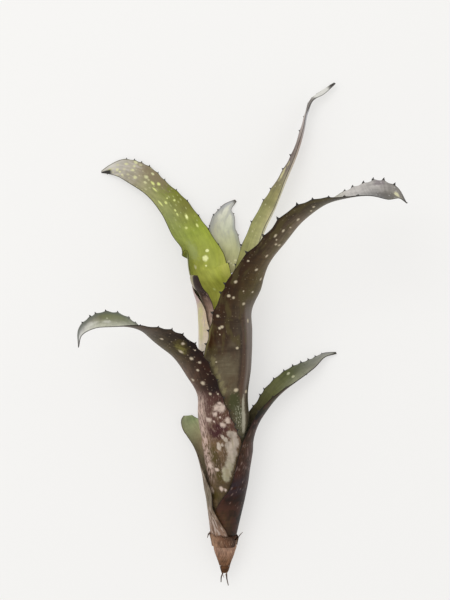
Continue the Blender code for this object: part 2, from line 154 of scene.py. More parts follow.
LEAVES = {
    "leaf_short_left": Leaf(
        0,
        ((22, 74, 328), (26, 83, 322), (32, 106, 310), (38, 127, 300), (42, 138, 292),
         (51, 135, 275), (62, 158, 250)),
        (((-16.3, 75.1, 7.9), 8.2, 34, (0.83, 0.10, 0.55)),
         ((-19.0, 84.1, 6.0), 8.1, 44, (0.50, 0.15, 0.85)),
         ((-22.9, 91.1, 4.8), 6.6, 38, (0.51, 0.22, 0.83)),
         ((-23.5, 94.2, 3.8), 2.9, 29, (0.44, 0.20, 0.87))),
        end_spines=(72,)),
    "leaf_lower_right": Leaf(
        1,
        ((24, -140, 148), (38, -132, 136), (43, -128, 122), (48, -122, 103), (54, -114, 82),
         (62, -106, 72), (74, -96, 63), (80, -90, 56)),
        (((19.1, 90.3, 12.8), 13.3, 63, (-0.96, 0.14, 0.23)),
         ((24.8, 98.9, 11.2), 11.1, 69, (-0.86, 0.46, 0.22)),
         ((31.8, 108.8, 9.5), 9.1, 68, (-0.61, 0.60, 0.52)),
         ((40.6, 116.9, 7.5), 8.0, 50, (-0.49, 0.60, 0.64)),
         ((52.7, 124.7, 5.3), 5.8, 41, (-0.47, 0.66, 0.59)),
         ((60.6, 130.9, 3.4), 2.4, 35, (-0.42, 0.70, 0.58)),
         ((67.6, 132.5, 2.2), 0.8, 31, (-0.31, 0.72, 0.63))),
        start_spines=(77, 84, 88, 95, 102, 108, 113, 119, 123, 127),
        end_spines=(75, 86, 95, 111),
        spine_size=0.8),
    "leaf_lower_left": Leaf(
        2,
        ((26, 10, 290), (60, 22, 278), (72, 38, 262), (83, 52, 250), (96, 72, 235), (108, 89, 210)),
        (((-18.1, 117.8, 36.6), 13.6, 59, (0.63, 0.30, -0.72)),
         ((-26.0, 132.4, 44.9), 13.0, 47, (0.49, 0.48, -0.73)),
         ((-39.2, 142.8, 51.9), 11.9, 37, (0.43, 0.73, -0.52)),
         ((-49.9, 148.3, 57.0), 10.8, 32, (0.36, 0.93, -0.07)),
         ((-62.2, 151.9, 59.2), 9.6, 30, (0.05, 0.91, 0.40)),
         ((-72.8, 152.2, 58.9), 7.3, 31, (-0.35, 0.73, 0.59)),
         ((-82.7, 146.3, 57.2), 3.9, 28, (-0.72, 0.37, 0.58)),
         ((-84.7, 138.0, 53.9), 0.8, 29, (-0.87, 0.11, 0.49))),
        start_spines=(60, 64, 68, 76, 84, 96, 107, 113, 118, 126, 132, 140, 148),
        end_spines=(147, 153, 160, 166, 171, 174, 178),
        spine_size=0.8, scallop=2.2),
    "leaf_front_right": Leaf(
        3,
        ((30, -110, 190), (90, -100, 178), (120, -80, 152), (138, -60, 131), (147, -50, 124),
         (158, -35, 113)),
        (((12.9, 169.2, 43.9), 16.2, 63, (-0.48, 0.25, -0.84)),
         ((19.2, 183.8, 52.9), 13.5, 51, (-0.59, 0.41, -0.70)),
         ((28.6, 196.3, 61.2), 10.9, 43, (-0.58, 0.52, -0.63)),
         ((41.1, 211.1, 67.1), 9.7, 38, (-0.44, 0.73, -0.52)),
         ((53.6, 218.3, 70.9), 9.6, 29, (-0.35, 0.92, -0.19)),
         ((65.3, 221.8, 73.3), 9.4, 28, (-0.19, 0.97, 0.17)),
         ((78.7, 225.1, 73.0), 9.0, 29, (-0.01, 0.88, 0.47)),
         ((88.3, 225.6, 70.9), 9.1, 29, (0.16, 0.72, 0.68)),
         ((96.2, 224.5, 68.3), 5.6, 35, (0.40, 0.69, 0.60)),
         ((102.4, 220.0, 64.6), 0.8, 33, (0.61, 0.63, 0.48))),
        start_spines=(230, 236, 242, 248, 253, 258),
        end_spines=(111, 119, 130, 143, 148, 169, 182, 193, 205, 213, 221, 229, 235),
        spine_size=1.15, scallop=2.0,
        start_cut=((137, 0), (144, 2.2), (151, 3.2), (159, 2.6), (170, 1.8), (186, 0))),
    "leaf_back": Leaf(
        4,
        ((34, 100, 420), (100, 105, 410), (146, 121, 394), (154, 131, 378), (158, 133, 362),
         (162, 139, 340), (166, 150, 316), (170, 166, 296), (173.5, 185, 290), (177, 205, 285)),
        (((-1.4, 187.1, 8.2), 10.2, 32, (0.00, 0.05, 1.00)),
         ((-0.3, 197.4, 6.4), 9.8, 36, (0.02, 0.18, 0.98)),
         ((-2.1, 207.2, 4.4), 9.1, 40, (0.01, 0.24, 0.97)),
         ((-0.8, 216.2, 2.6), 7.0, 38, (0.04, 0.27, 0.96)),
         ((0.6, 221.0, 1.8), 3.7, 36, (0.10, 0.26, 0.96)),
         ((6.0, 226.1, 1.4), 0.8, 34, (0.15, 0.26, 0.95))),
        start_spines=(183, 189, 193, 195),
        end_spines=(171, 176, 193, 201),
        spine_size=0.6, scallop=0.8),
    "leaf_upper_right": Leaf(
        5,
        ((38, -190, 110), (120, -182, 100), (142, -168, 88), (150, -152, 82), (158, -128, 76),
         (165, -98, 70)),
        (((11.2, 171, 18.2), 12.0, 54, (-0.85, 0.05, 0.52)),
         ((11.4, 177.2, 16.4), 8.7, 50, (-0.74, 0.10, 0.66)),
         ((16.0, 189.6, 15.6), 10.6, 58, (-0.77, 0.25, 0.58)),
         ((20.8, 204.6, 14.2), 10.0, 55, (-0.78, 0.34, 0.52)),
         ((28.3, 220.8, 12.4), 9.4, 51, (-0.79, 0.38, 0.48)),
         ((36.8, 239.6, 10.4), 7.4, 44, (-0.87, 0.39, 0.30)),
         ((43.2, 254.3, 8.6), 6.2, 39, (-0.92, 0.32, 0.23)),
         ((47.3, 267.7, 7.4), 5.4, 36, (-0.96, 0.22, 0.17)),
         ((50.0, 279.5, 6.4), 4.3, 34, (-0.95, 0.30, 0.08)),
         ((52.7, 286.6, 5.6), 3.0, 32, (-0.79, 0.56, 0.26)),
         ((58.7, 291.3, 4.2), 2.4, 29, (-0.45, 0.71, 0.54)),
         ((66.7, 297.8, 3.7), 0.8, 31, (-0.30, 0.75, 0.59))),
        start_spines=(149, 163, 177, 192, 201, 215, 225, 241, 250, 258, 262, 266, 276),
        spine_size=0.85),
    "leaf_upper_left": Leaf(
        6,
        ((42, 90, 390), (120, 100, 384), (157, 115, 370), (163, 119, 364), (168, 124, 361)),
        (((-14.1, 177.4, 16.8), 24.8, 118, (0.47, -0.03, 0.88)),
         ((-17.0, 183.5, 16.4), 21.7, 98, (0.60, 0.06, 0.80)),
         ((-17.2, 188.9, 13.0), 18.5, 75, (0.40, 0.12, 0.91)),
         ((-19.0, 195.9, 11.4), 14.8, 65, (0.42, 0.16, 0.90)),
         ((-25.0, 206.6, 8.6), 13.3, 52, (0.37, 0.24, 0.90)),
         ((-32.5, 220.5, 6.0), 10.5, 45, (0.24, 0.32, 0.92)),
         ((-42.2, 231.7, 4.2), 8.5, 41, (0.13, 0.39, 0.91)),
         ((-52.1, 240.3, 3.0), 8.7, 36, (0.00, 0.35, 0.94)),
         ((-63.0, 244.8, 2.1), 6.9, 35, (-0.10, 0.30, 0.95)),
         ((-70.6, 244.6, 1.7), 3.6, 31, (-0.30, 0.23, 0.92)),
         ((-76.5, 243.5, 1.2), 0.8, 28, (-0.40, 0.15, 0.90))),
        start_spines=(237,),
        end_spines=(143, 156, 165, 176, 186, 194, 203, 209, 214, 219, 222, 226),
        spine_size=0.65,
        start_cut=((141, 0), (142, 9), (144.5, 7), (147, 4.5), (150, 2.5), (154, 1), (158, 0))),
}

# The stem: its radius at some heights on the stub, and the scars and lumps that older leaves left.
STEM_STUB = ((0.0, 1.5), (0.6, 2.0), (5, 2.7), (8, 3.6), (12, 4.3), (17, 5.0), (20, 6.0))
STEM_TOP = 45.0
STEM_TOP_RADIUS = 0.7
STEM_SIDES = 72
STEM_ROW_STEP = 0.5
SEAT_GAP = 0.45
SCAR_DEPTH = 0.02
SCAR_PITCH = 2.6
SCAR_WAVE = 0.8
STEM_LUMPS = ((0.03, 3, 0.9), (0.02, 5, -1))

# The dry scales: the radius of each at some heights, and the angles where it starts and ends.
BRACT_THICKNESS = 0.35
BRACTS = {
    "bract_lower": (
        ((5, 3.2), (8, 4.3), (12, 5.8), (15, 6.7), (17.5, 7.1), (20.5, 7.5)),
        ((5, -160, 172), (12, -150, 170), (16, -110, 164), (18.5, -60, 156), (20.5, -10, 140))),
    "bract_upper": (
        ((17, 7.55), (20, 8.15), (22, 8.8), (24.5, 9.3)),
        ((17, 34, 364), (20, 36, 362), (22, 50, 330), (24.5, 82, 268))),
}
BRACT_ROW_STEP = 0.5
BRACT_CREASE = 0.12
CREASES = ((1.0, 31, 0.25, 0.0), (0.6, 53, 0.0, 1.0))
CREASE_POWER = 4
BRACT_TEAR = 0.8
TEETH = ((0.5, 17, 1.0), (0.35, 43, 2.0), (0.25, 97, 0.0))
TEAR_POWER = 5
BRACT_SLANT = 1.8

# The fibres that stand off each scale: points that they run through, and their radius there.
FIBRES = {
    "bract_lower": (
        (((-3.6, 4.0, 13.5), (-2.6, 0.5, 13.8), (-1.2, -3.0, 13.2)), (0.25, 0.22, 0.12)),
        (((2.4, 6.0, 15.8), (1.4, 2.0, 15.4), (-0.6, -1.5, 14.4)), (0.3, 0.25, 0.12))),
    "bract_upper": (
        (((6.6, 20.5, 15.5), (8.2, 23.0, 16.0), (10.0, 25.2, 16.8)), (0.3, 0.28, 0.14)),
        (((-9.0, 24.8, 16.0), (-10.3, 24.2, 16.2), (-11.2, 21.6, 16.0)), (0.4, 0.45, 0.15))),
}

# Points that each root runs through, and its radius at each of them.
ROOTS = {
    "root_left": (((-1.9, -0.6, 11.4), (-2.8, -3.0, 10.6), (-3.0, -6.5, 9.0)), (0.40, 0.36, 0.28)),
    "root_right": (((0.3, -0.5, 12.9), (0.5, -3.5, 12.8), (1.4, -8.0, 11.6)), (0.45, 0.38, 0.25)),
}
TUBE_SIDES = 10
TUBE_ROW_STEP = 0.4
FEWEST_TUBE_ROWS = 4

# How each kind of surface takes the light, besides its colour and roughness.
WAXY = {"Specular IOR Level": 0.18, "Sheen Weight": 0.04, "Sheen Roughness": 0.4}
SCURFY = {"Specular IOR Level": 0.25, "Sheen Weight": 0.25, "Sheen Roughness": 0.5}
DRY = {"Specular IOR Level": 0.2}

# How the skins are drawn. GRAIN holds the width, length, detail and shift of its fine veins along
# a leaf, its soft mottling and its faint cross bands.
GRAIN = ((0.55, 30, 2, 0), (3.0, 5.5, 4, 3), (14, 1.4, 2, 7))
VEIN_WIDTH = 0.6
SHIFT_SLANT = 1.7
SPOT_WANDER = (1.3, 1.7, 3)
SMALLEST_FLECK = 0.35
FLECK_SCATTER = 0.9
FLECK_BLUR = 0.35
EDGE_SOFTNESS = 0.35
MOTTLE_STOPS = (0.3, 0.7)

# The numbers of a Mix node's colour sockets, which share their names with its other sockets.
MIX_AMOUNT, MIX_BELOW, MIX_ABOVE, MIX_RESULT = 0, 6, 7, 2

# The stage, in metres; the camera's place is in the plant's own millimetres.
WHITE = (1, 1, 1, 1)
HALF_FLOOR = 3.0
LAMP_PLACE = (-0.5, 0.6, 1.3)
LAMP_AIM = (0.0, 0.0, 0.02)
LAMP_SIZE = 0.9
CAMERA_OVER_PLANT = (-0.6, 165.0, 820.0)


# ---------------------------------------------------------------- settings


def linear(code):
    """The red, green and blue of a screen colour such as 0x7F8F3A, as shares of light."""
    shares = [(code >> shift & 255) / 255 for shift in (16, 8, 0)]
    return [s / 12.92 if s <= 0.04045 else ((s + 0.055) / 1.055) ** 2.4 for s in shares]


def colour_setting(name, description, code):
    return FloatVectorProperty(
        name=name, description=description, default=linear(code), subtype="COLOR", min=0, max=1)


def length_setting(name, description, millimetres):
    return FloatProperty(
        name=name, description=description, default=millimetres * MM, min=0, unit="LENGTH",
        precision=5)


def number_setting(name, description, value, **limits):
    return FloatProperty(name=name, description=description, default=value, **{"min": 0, **limits})


class LeafSettings(PropertyGroup):
    """Sizes that all the leaves share."""

    spine_length: length_setting(
        "Spine length", "How far a spine stands out from the leaf's edge", 1.7)
    spine_width: length_setting(
        "Spine width", "Width of a spine's foot along the leaf's edge", 1.7)
    tooth_depth: length_setting(
        "Tooth depth", "How far the edge draws in between two spines", 0.5)
    ripple: length_setting("Ripple", "How far a blade's surface waves in and out", 0.35)


class StageSettings(PropertyGroup):
    """The floor, the lights and the camera."""

    floor_colour: colour_setting(
        "Floor", "Colour of the surface that the plant lies on", 0xF5F4F2)
    sky_strength: number_setting("Sky", "Strength of the even light from all round", 0.80, max=5)
    lamp_power: number_setting("Lamp", "Power of the soft lamp", 6.0, unit="POWER")
    shadow_fade: number_setting(
        "Shadow fade", "How far the camera sees the surface without the plant's shadow", 0.6, max=1)
    camera_lens: number_setting("Lens", "Focal length of the camera", 80, min=10, unit="CAMERA")


class PlantSettings(PropertyGroup):
    """Everything that can be changed on the plant and its stage."""

    leaves: PointerProperty(
        type=LeafSettings, name="Leaves", description="Sizes that all the leaves share")
    stage: PointerProperty(
        type=StageSettings, name="Stage", description="Floor, lights and camera")


# ---------------------------------------------------------------- shapes


def plant_matrix():
    """From the plant's own millimetres to the surface that it lies on, in metres."""
    place = Matrix.LocRotScale(Vector(PLANT_PLACE) * MM, None, Vector((MM, MM, MM)))
    about_x, about_y = (math.radians(angle) for angle in PLANT_TURN)
    return place @ Matrix.Rotation(about_y, 4, "Y") @ Matrix.Rotation(about_x, 4, "X")


def smooth_curve(rows, tangents, places, wanted):
    """Values and slopes at the wanted places on a smooth curve through rows with these tangents."""
    index = np.clip(np.searchsorted(places, wanted, side="right") - 1, 0, len(places) - 2)
    step = np.diff(places)[index]
    share = (wanted - places[index]) / step
    if rows.ndim > 1:
        step, share = step[:, None], share[:, None]
    a, b = rows[index], rows[index + 1]
    ta, tb = tangents[index] * step, tangents[index + 1] * step
    values = (a * (1 + 2 * share) * (1 - share) ** 2 + ta * share * (1 - share) ** 2
              + b * share**2 * (3 - 2 * share) - tb * share**2 * (1 - share))
    slopes = (6 * (b - a) * share * (1 - share) + ta * (1 - share) * (1 - 3 * share)
              - tb * share * (2 - 3 * share)) / step
    return values, slopes


def read_table(table, at):
    """Values of a table of (place, value) pairs, on a smooth curve that never overshoots them."""
    places, values = (np.array(column, float) for column in zip(*table))
    slopes = np.diff(values) / np.diff(places)
    before, after = slopes[:-1], slopes[1:]
    steady = before * after > 0
    tangents = np.concatenate([slopes[:1], np.zeros(len(steady)), slopes[-1:]])
    tangents[1:-1][steady] = 2 * before[steady] * after[steady] / (before[steady] + after[steady])
    return smooth_curve(values, tangents, places, np.clip(at, places[0], places[-1]))[0]


def axis_points(heights):
    """Points on the tube's axis at heights along the plant."""
    rise = AXIS_LOW_Z + (heights - AXIS_LOW_HEIGHT) * math.tan(AXIS_RISE)
    return np.column_stack([np.interp(heights, *zip(*TUBE_MIDDLE)), heights, rise])


def round_tube(angles):
    """Directions away from the tube's axis at angles round it."""
    return np.cos(angles)[:, None] * ACROSS + np.sin(angles)[:, None] * OVER


def layers_outside(layer, heights):
    """How many older leaves still wrap round a layer; each drops out smoothly as it leaves."""
    count = np.zeros(len(heights))
    for other in LEAVES.values():
        if other.layer < layer:
            gone = np.clip((heights - other.leaving) / LEAVING_SPREAD, 0, 1)
            count += 1 - gone * gone * (3 - 2 * gone)
    return count


def sheath_radius(layer, heights):
    """The radius of the middle of a layer's wall inside the tube."""
    outside = read_table(TUBE_OUTSIDE, heights)
    return outside - SHEATH_THICKNESS / 2 - LAYER_PITCH * layers_outside(layer, heights)


def wrapped_rows(heights, radius, starts, ends):
    """Rows of numbers for a strip that wraps round the axis at the given heights.

    A row holds the midrib point, the way that the upper face looks, the half width, the half
    angle, and how far the strip has left the tube there.
    """
    start, end = np.radians(read_table(starts, heights)), np.radians(read_table(ends, heights))
    out = round_tube((start + end) / 2)
    half = (end - start) / 2
    middle = axis_points(heights) + out * radius[:, None]
    return np.column_stack([middle, -out, radius * half, half, np.zeros(len(heights))])


def sheath_rows(leaf, heights):
    return wrapped_rows(heights, sheath_radius(leaf.layer, heights), leaf.starts, leaf.ends)


def blade_rows(leaf):
    """A row of numbers for each station of a leaf's blade, as wrapped_rows gives them."""
    rows = []
    for index, (point, half_width, half_angle, facing) in enumerate(leaf.blade, 1):
        facing = Vector(facing).normalized()
        turned_off = min(BLADE_TURN * index, 1)
        rows.append([*point, *facing, half_width, math.radians(half_angle), turned_off])
    return np.array(rows)


def row_heights(table, step):
    """Every height in a table of (height, value) pairs, with the longer stretches divided up."""
    heights = [table[0][0]]
    for (low, _), (high, _) in zip(table, table[1:]):
        heights += list(np.linspace(low, high, 1 + max(1, round((high - low) / step))))[1:]
    return np.array(heights, float)


class Strip:
    """A curved strip, such as a leaf: where its midrib runs, which way it faces and how wide it is.

    Each array holds one entry for each row, from the foot to the tip.
    """

    def __init__(self, rows, courses, places):
        self.places = places
        self.midrib = rows[:, MIDRIB]
        self.half_width = rows[:, HALF_WIDTH]
        self.half_angle = rows[:, HALF_ANGLE]
        self.course = unit(courses)
        self.side = unit(np.cross(self.course, unit(rows[:, FACING])))
        self.facing = np.cross(self.side, self.course)

    def points(self, shares, row=slice(None)):
        """Points and upward directions on the strip at shares of its half width, from -1 to 1."""
        angle = shares * self.half_angle[row, None]
        radius = (self.half_width / self.half_angle)[row, None, None]
        side, facing = self.side[row, None], self.facing[row, None]
        sine, cosine = np.sin(angle)[..., None], np.cos(angle)[..., None]
        points = self.midrib[row, None] + side * radius * sine + facing * radius * (1 - cosine)
        return points, facing * cosine - side * sine


def unit(vectors):
    return vectors / np.linalg.norm(vectors, axis=-1, keepdims=True)


def step_lengths(rows):
    """The distances along the midrib from each row to the next."""
    return np.linalg.norm(np.diff(rows[:, MIDRIB], axis=0), axis=1)


def leaf_strip(leaf):
    """The strip that a leaf follows, from its foot on the stem to its tip."""
    heights = row_heights(leaf.starts, SHEATH_ROW_STEP)
    rows = np.vstack([sheath_rows(leaf, heights), blade_rows(leaf)])
    steps = step_lengths(rows)
    places = np.concatenate([[0.0], np.cumsum(steps)])
    wanted = np.linspace(0, places[-1], round(places[-1] / ROW_STEP))
    slopes = np.diff(rows, axis=0) / steps[:, None]
    before, after = steps[:-1, None], steps[1:, None]
    inner = (slopes[:-1] * after + slopes[1:] * before) / (before + after)
    tangents = np.vstack([slopes[:1], inner, slopes[-1:]])
    fine, courses = smooth_curve(rows, tangents, places, wanted)
    last = len(heights) - 2
    inside = wanted < places[last]
    near = slice(last + 1)
    fine[inside] = sheath_rows(leaf, np.interp(wanted[inside], places[near], heights[near]))
    turned_off = np.clip(fine[:, TURNED_OFF, None], 0, 1)
    courses = ALONG * (1 - turned_off) + unit(courses[:, MIDRIB]) * turned_off
    fine[:, HALF_WIDTH] = np.maximum(fine[:, HALF_WIDTH], TIP_HALF_WIDTH)
    return Strip(fine, courses, wanted)


def column_shares():
    """Shares across a strip from edge to edge, crowded towards the edges."""
    even = np.linspace(-1, 1, COLUMNS)
    return even * (1 - EDGE_CROWDING) + np.sin(even * math.pi / 2) * EDGE_CROWDING


def drawn_in(places, spines):
    """How far an edge draws in between its spines at some places, as a share of the deepest."""
    inward = np.zeros(len(places))
    for low, high in zip(spines, spines[1:]):
        share = (places - low) / (high - low)
        between = (share > 0) & (share < 1)
        inward[between] = 1 - np.abs(2 * share[between] - 1) ** EDGE_CURVE
    return inward


def strip_grid(strip, thickness, inward=(0, 0), lift=None, cut=0.0):
    """The two faces of a strip as grids of points, with each point's surface and place coordinates.

    inward holds how far each edge is drawn in at each row, lift how far the surface is moved
    upwards at each point, and cut how much of the strip is missing along its start edge.
    """
    shares = column_shares()
    edge = np.where(shares < 0, np.asarray(inward[0])[..., None], np.asarray(inward[1])[..., None])
    kept = np.where(shares < 0, 1 - np.asarray(cut)[..., None] / strip.half_width[:, None], 1)
    pulled = shares * (kept - edge * np.abs(shares) ** TOOTH_POWER / strip.half_width[:, None])
    points, up = strip.points(pulled)
    if lift is not None:
        points = points + up * lift(pulled, strip)[..., None]
    profile = 1 - (1 - MARGIN_SHARE) * np.abs(shares) ** MARGIN_POWER
    half = (thickness[:, None] / 2 * profile)[..., None]
    wide = strip.half_width[:, None]
    places = strip.places[:, None] + 0 * pulled
    surface = np.stack([pulled * wide, places], axis=-1)
    place = np.stack([pulled, places / strip.places[-1], (1 - np.abs(shares)) * wide], axis=-1)
    return points - up * half, points + up * half, surface, place


class Body:
    """The points and faces of one piece as they are put together, with what its skin reads."""

    def __init__(self):
        self.points, self.surface, self.place = [], [], []
        self.faces, self.slots = [], []
        self.count = 0

    def add(self, points, faces, slots, surface, place):
        self.points.append(points)
        self.surface.append(surface)
        self.place.append(place)
        self.faces += [tuple(int(corner) + self.count for corner in face) for face in faces]
        self.slots += list(slots)
        self.count += len(points)

    def add_strip(self, under, over, surface, place):
        """A closed skin over a strip's two faces: slot 0 below and round the edge, slot 1 above."""
        rows, columns = under.shape[:2]
        ring = 2 * columns
        rings = [np.concatenate([low, high[:, ::-1]], axis=1).reshape(rows * ring, -1)
                 for low, high in ((under, over), (surface, surface), (place, place))]
        faces, starts = ring_faces(rows, ring)
        slots = [int(columns <= start < ring - 1) for start in starts]
        top = (rows - 1) * ring
        for i in range(columns - 1):
            corners = (i, ring - 1 - i, ring - 2 - i, i + 1)
            faces += [corners, tuple(top + corner for corner in corners[::-1])]
            slots += [0, 0]
        self.add(rings[0], faces, slots, rings[1], rings[2])

    def add_tube(self, rings, surface, place, slot=0):
        """A closed skin through rings of points, with a flat face over each end."""
        rows, sides = rings.shape[:2]
        faces, _ = ring_faces(rows, sides)
        faces += [tuple(range(sides))[::-1], tuple(range((rows - 1) * sides, rows * sides))]
        slots = [slot] * len(faces)
        self.add(rings.reshape(-1, 3), faces, slots, surface.reshape(-1, 2), place.reshape(-1, 3))

    def make(self, name, materials):
        """The finished object, in the frame's place, standing for the CAD node of the same name."""
        mesh = bpy.data.meshes.new(name)
        matrix = np.array(plant_matrix())
        points = np.concatenate(self.points) @ matrix[:3, :3].T + matrix[:3, 3]
        mesh.from_pydata(points.tolist(), [], self.faces)
        mesh.polygons.foreach_set("material_index", np.array(self.slots, np.int32))
        corners = np.zeros(len(mesh.loops), np.int32)
        mesh.loops.foreach_get("vertex_index", corners)
        surface = np.concatenate(self.surface)[corners].astype(np.float32)
        mesh.uv_layers.new(name=SURFACE_MAP).uv.foreach_set("vector", surface.ravel())
        place = np.concatenate(self.place).astype(np.float32)
        data = mesh.attributes.new(PLACE_DATA, "FLOAT_VECTOR", "POINT")
        data.data.foreach_set("vector", place.ravel())
        shape = bmesh.new()
        shape.from_mesh(mesh)
        bmesh.ops.recalc_face_normals(shape, faces=shape.faces)
        shape.to_mesh(mesh)
        shape.free()
        mesh.shade_smooth()
        for material in materials:
            mesh.materials.append(material)
        obj = bpy.data.objects.new(name + "_fine", mesh)
        bpy.context.scene.collection.objects.link(obj)
        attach(obj, "root")
        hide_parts(name)
        return obj


def ring_faces(rows, count):
    """Faces between closed rings of points, and the place in its ring that each one starts at."""
    row, column = np.mgrid[0:rows - 1, 0:count]
    after = (column + 1) % count
    low, high = row * count, (row + 1) * count
    corners = np.stack((low + column, low + after, high + after, high + column), axis=-1)
    return [tuple(face) for face in corners.reshape(-1, 4)], column.ravel()


def add_spines(body, strip, end, spines, size, settings):
    """A curved, flattened spine at each of the given places along one edge of a strip."""
    length, width = settings.spine_length / MM, settings.spine_width / MM
    turns = np.linspace(0, math.tau, SPINE_SIDES, endpoint=False)[:, None]
    cosine, sine = np.cos(turns), np.sin(turns)
    for place in spines:
        row = int(np.argmin(np.abs(strip.places - place)))
        share = 1.0 if end else -1.0
        points, up = strip.points(np.array([share]), np.array([row]))
        foot, up = points[0, 0], up[0, 0]
        outward = unit(np.cross(up, strip.course[row])) * -share
        scale = size * min(1.0, SPINE_SCALE_BASE + strip.half_width[row] / SPINE_FULL_WIDTH)
        rings = []
        for out in np.linspace(0, 1, SPINE_RINGS):
            centre = foot + outward * (length * scale * out - SPINE_SUNK)
            centre = centre + strip.course[row] * (length * scale * SPINE_LEAN * out**2)
            wide = width * scale / 2 * (1 - out) ** SPINE_TAPER + SPINE_TIP
            thick = SPINE_THICKNESS / 2 * (1 - out) + SPINE_TIP
            ring = cosine * strip.course[row] * wide + sine * up * thick
            rings.append(centre + ring)
        rings = np.array(rings)
        surface = np.full(rings.shape[:2] + (2,), place)
        body.add_tube(rings, surface, np.zeros(rings.shape), slot=2)


# ---------------------------------------------------------------- skins


class Value:
    """A socket of a node tree, on which sums are written as plain Python."""

    def __init__(self, skin, socket):
        self.skin = skin
        self.socket = socket

    def math(self, operation, *values):
        return self.skin.add("ShaderNodeMath", {"operation": operation}, dict(enumerate(values)))

    def __add__(self, other):
        return self.math("ADD", self, other)

    def __sub__(self, other):
        return self.math("SUBTRACT", self, other)

    def __rsub__(self, other):
        return self.math("SUBTRACT", other, self)

    def __mul__(self, other):
        return self.math("MULTIPLY", self, other)

    def __lt__(self, other):
        return self.math("LESS_THAN", self, other)

    def __gt__(self, other):
        return self.math("GREATER_THAN", self, other)

    __radd__ = __add__
    __rmul__ = __mul__

    def eased(self, low, high):
        """0 below low and 1 above high, with a soft slope between; low may be the higher one."""
        return self.skin.add(
            "ShaderNodeMapRange", {"interpolation_type": "SMOOTHSTEP", "clamp": True},
            {"Value": self, "From Min": low, "From Max": high})


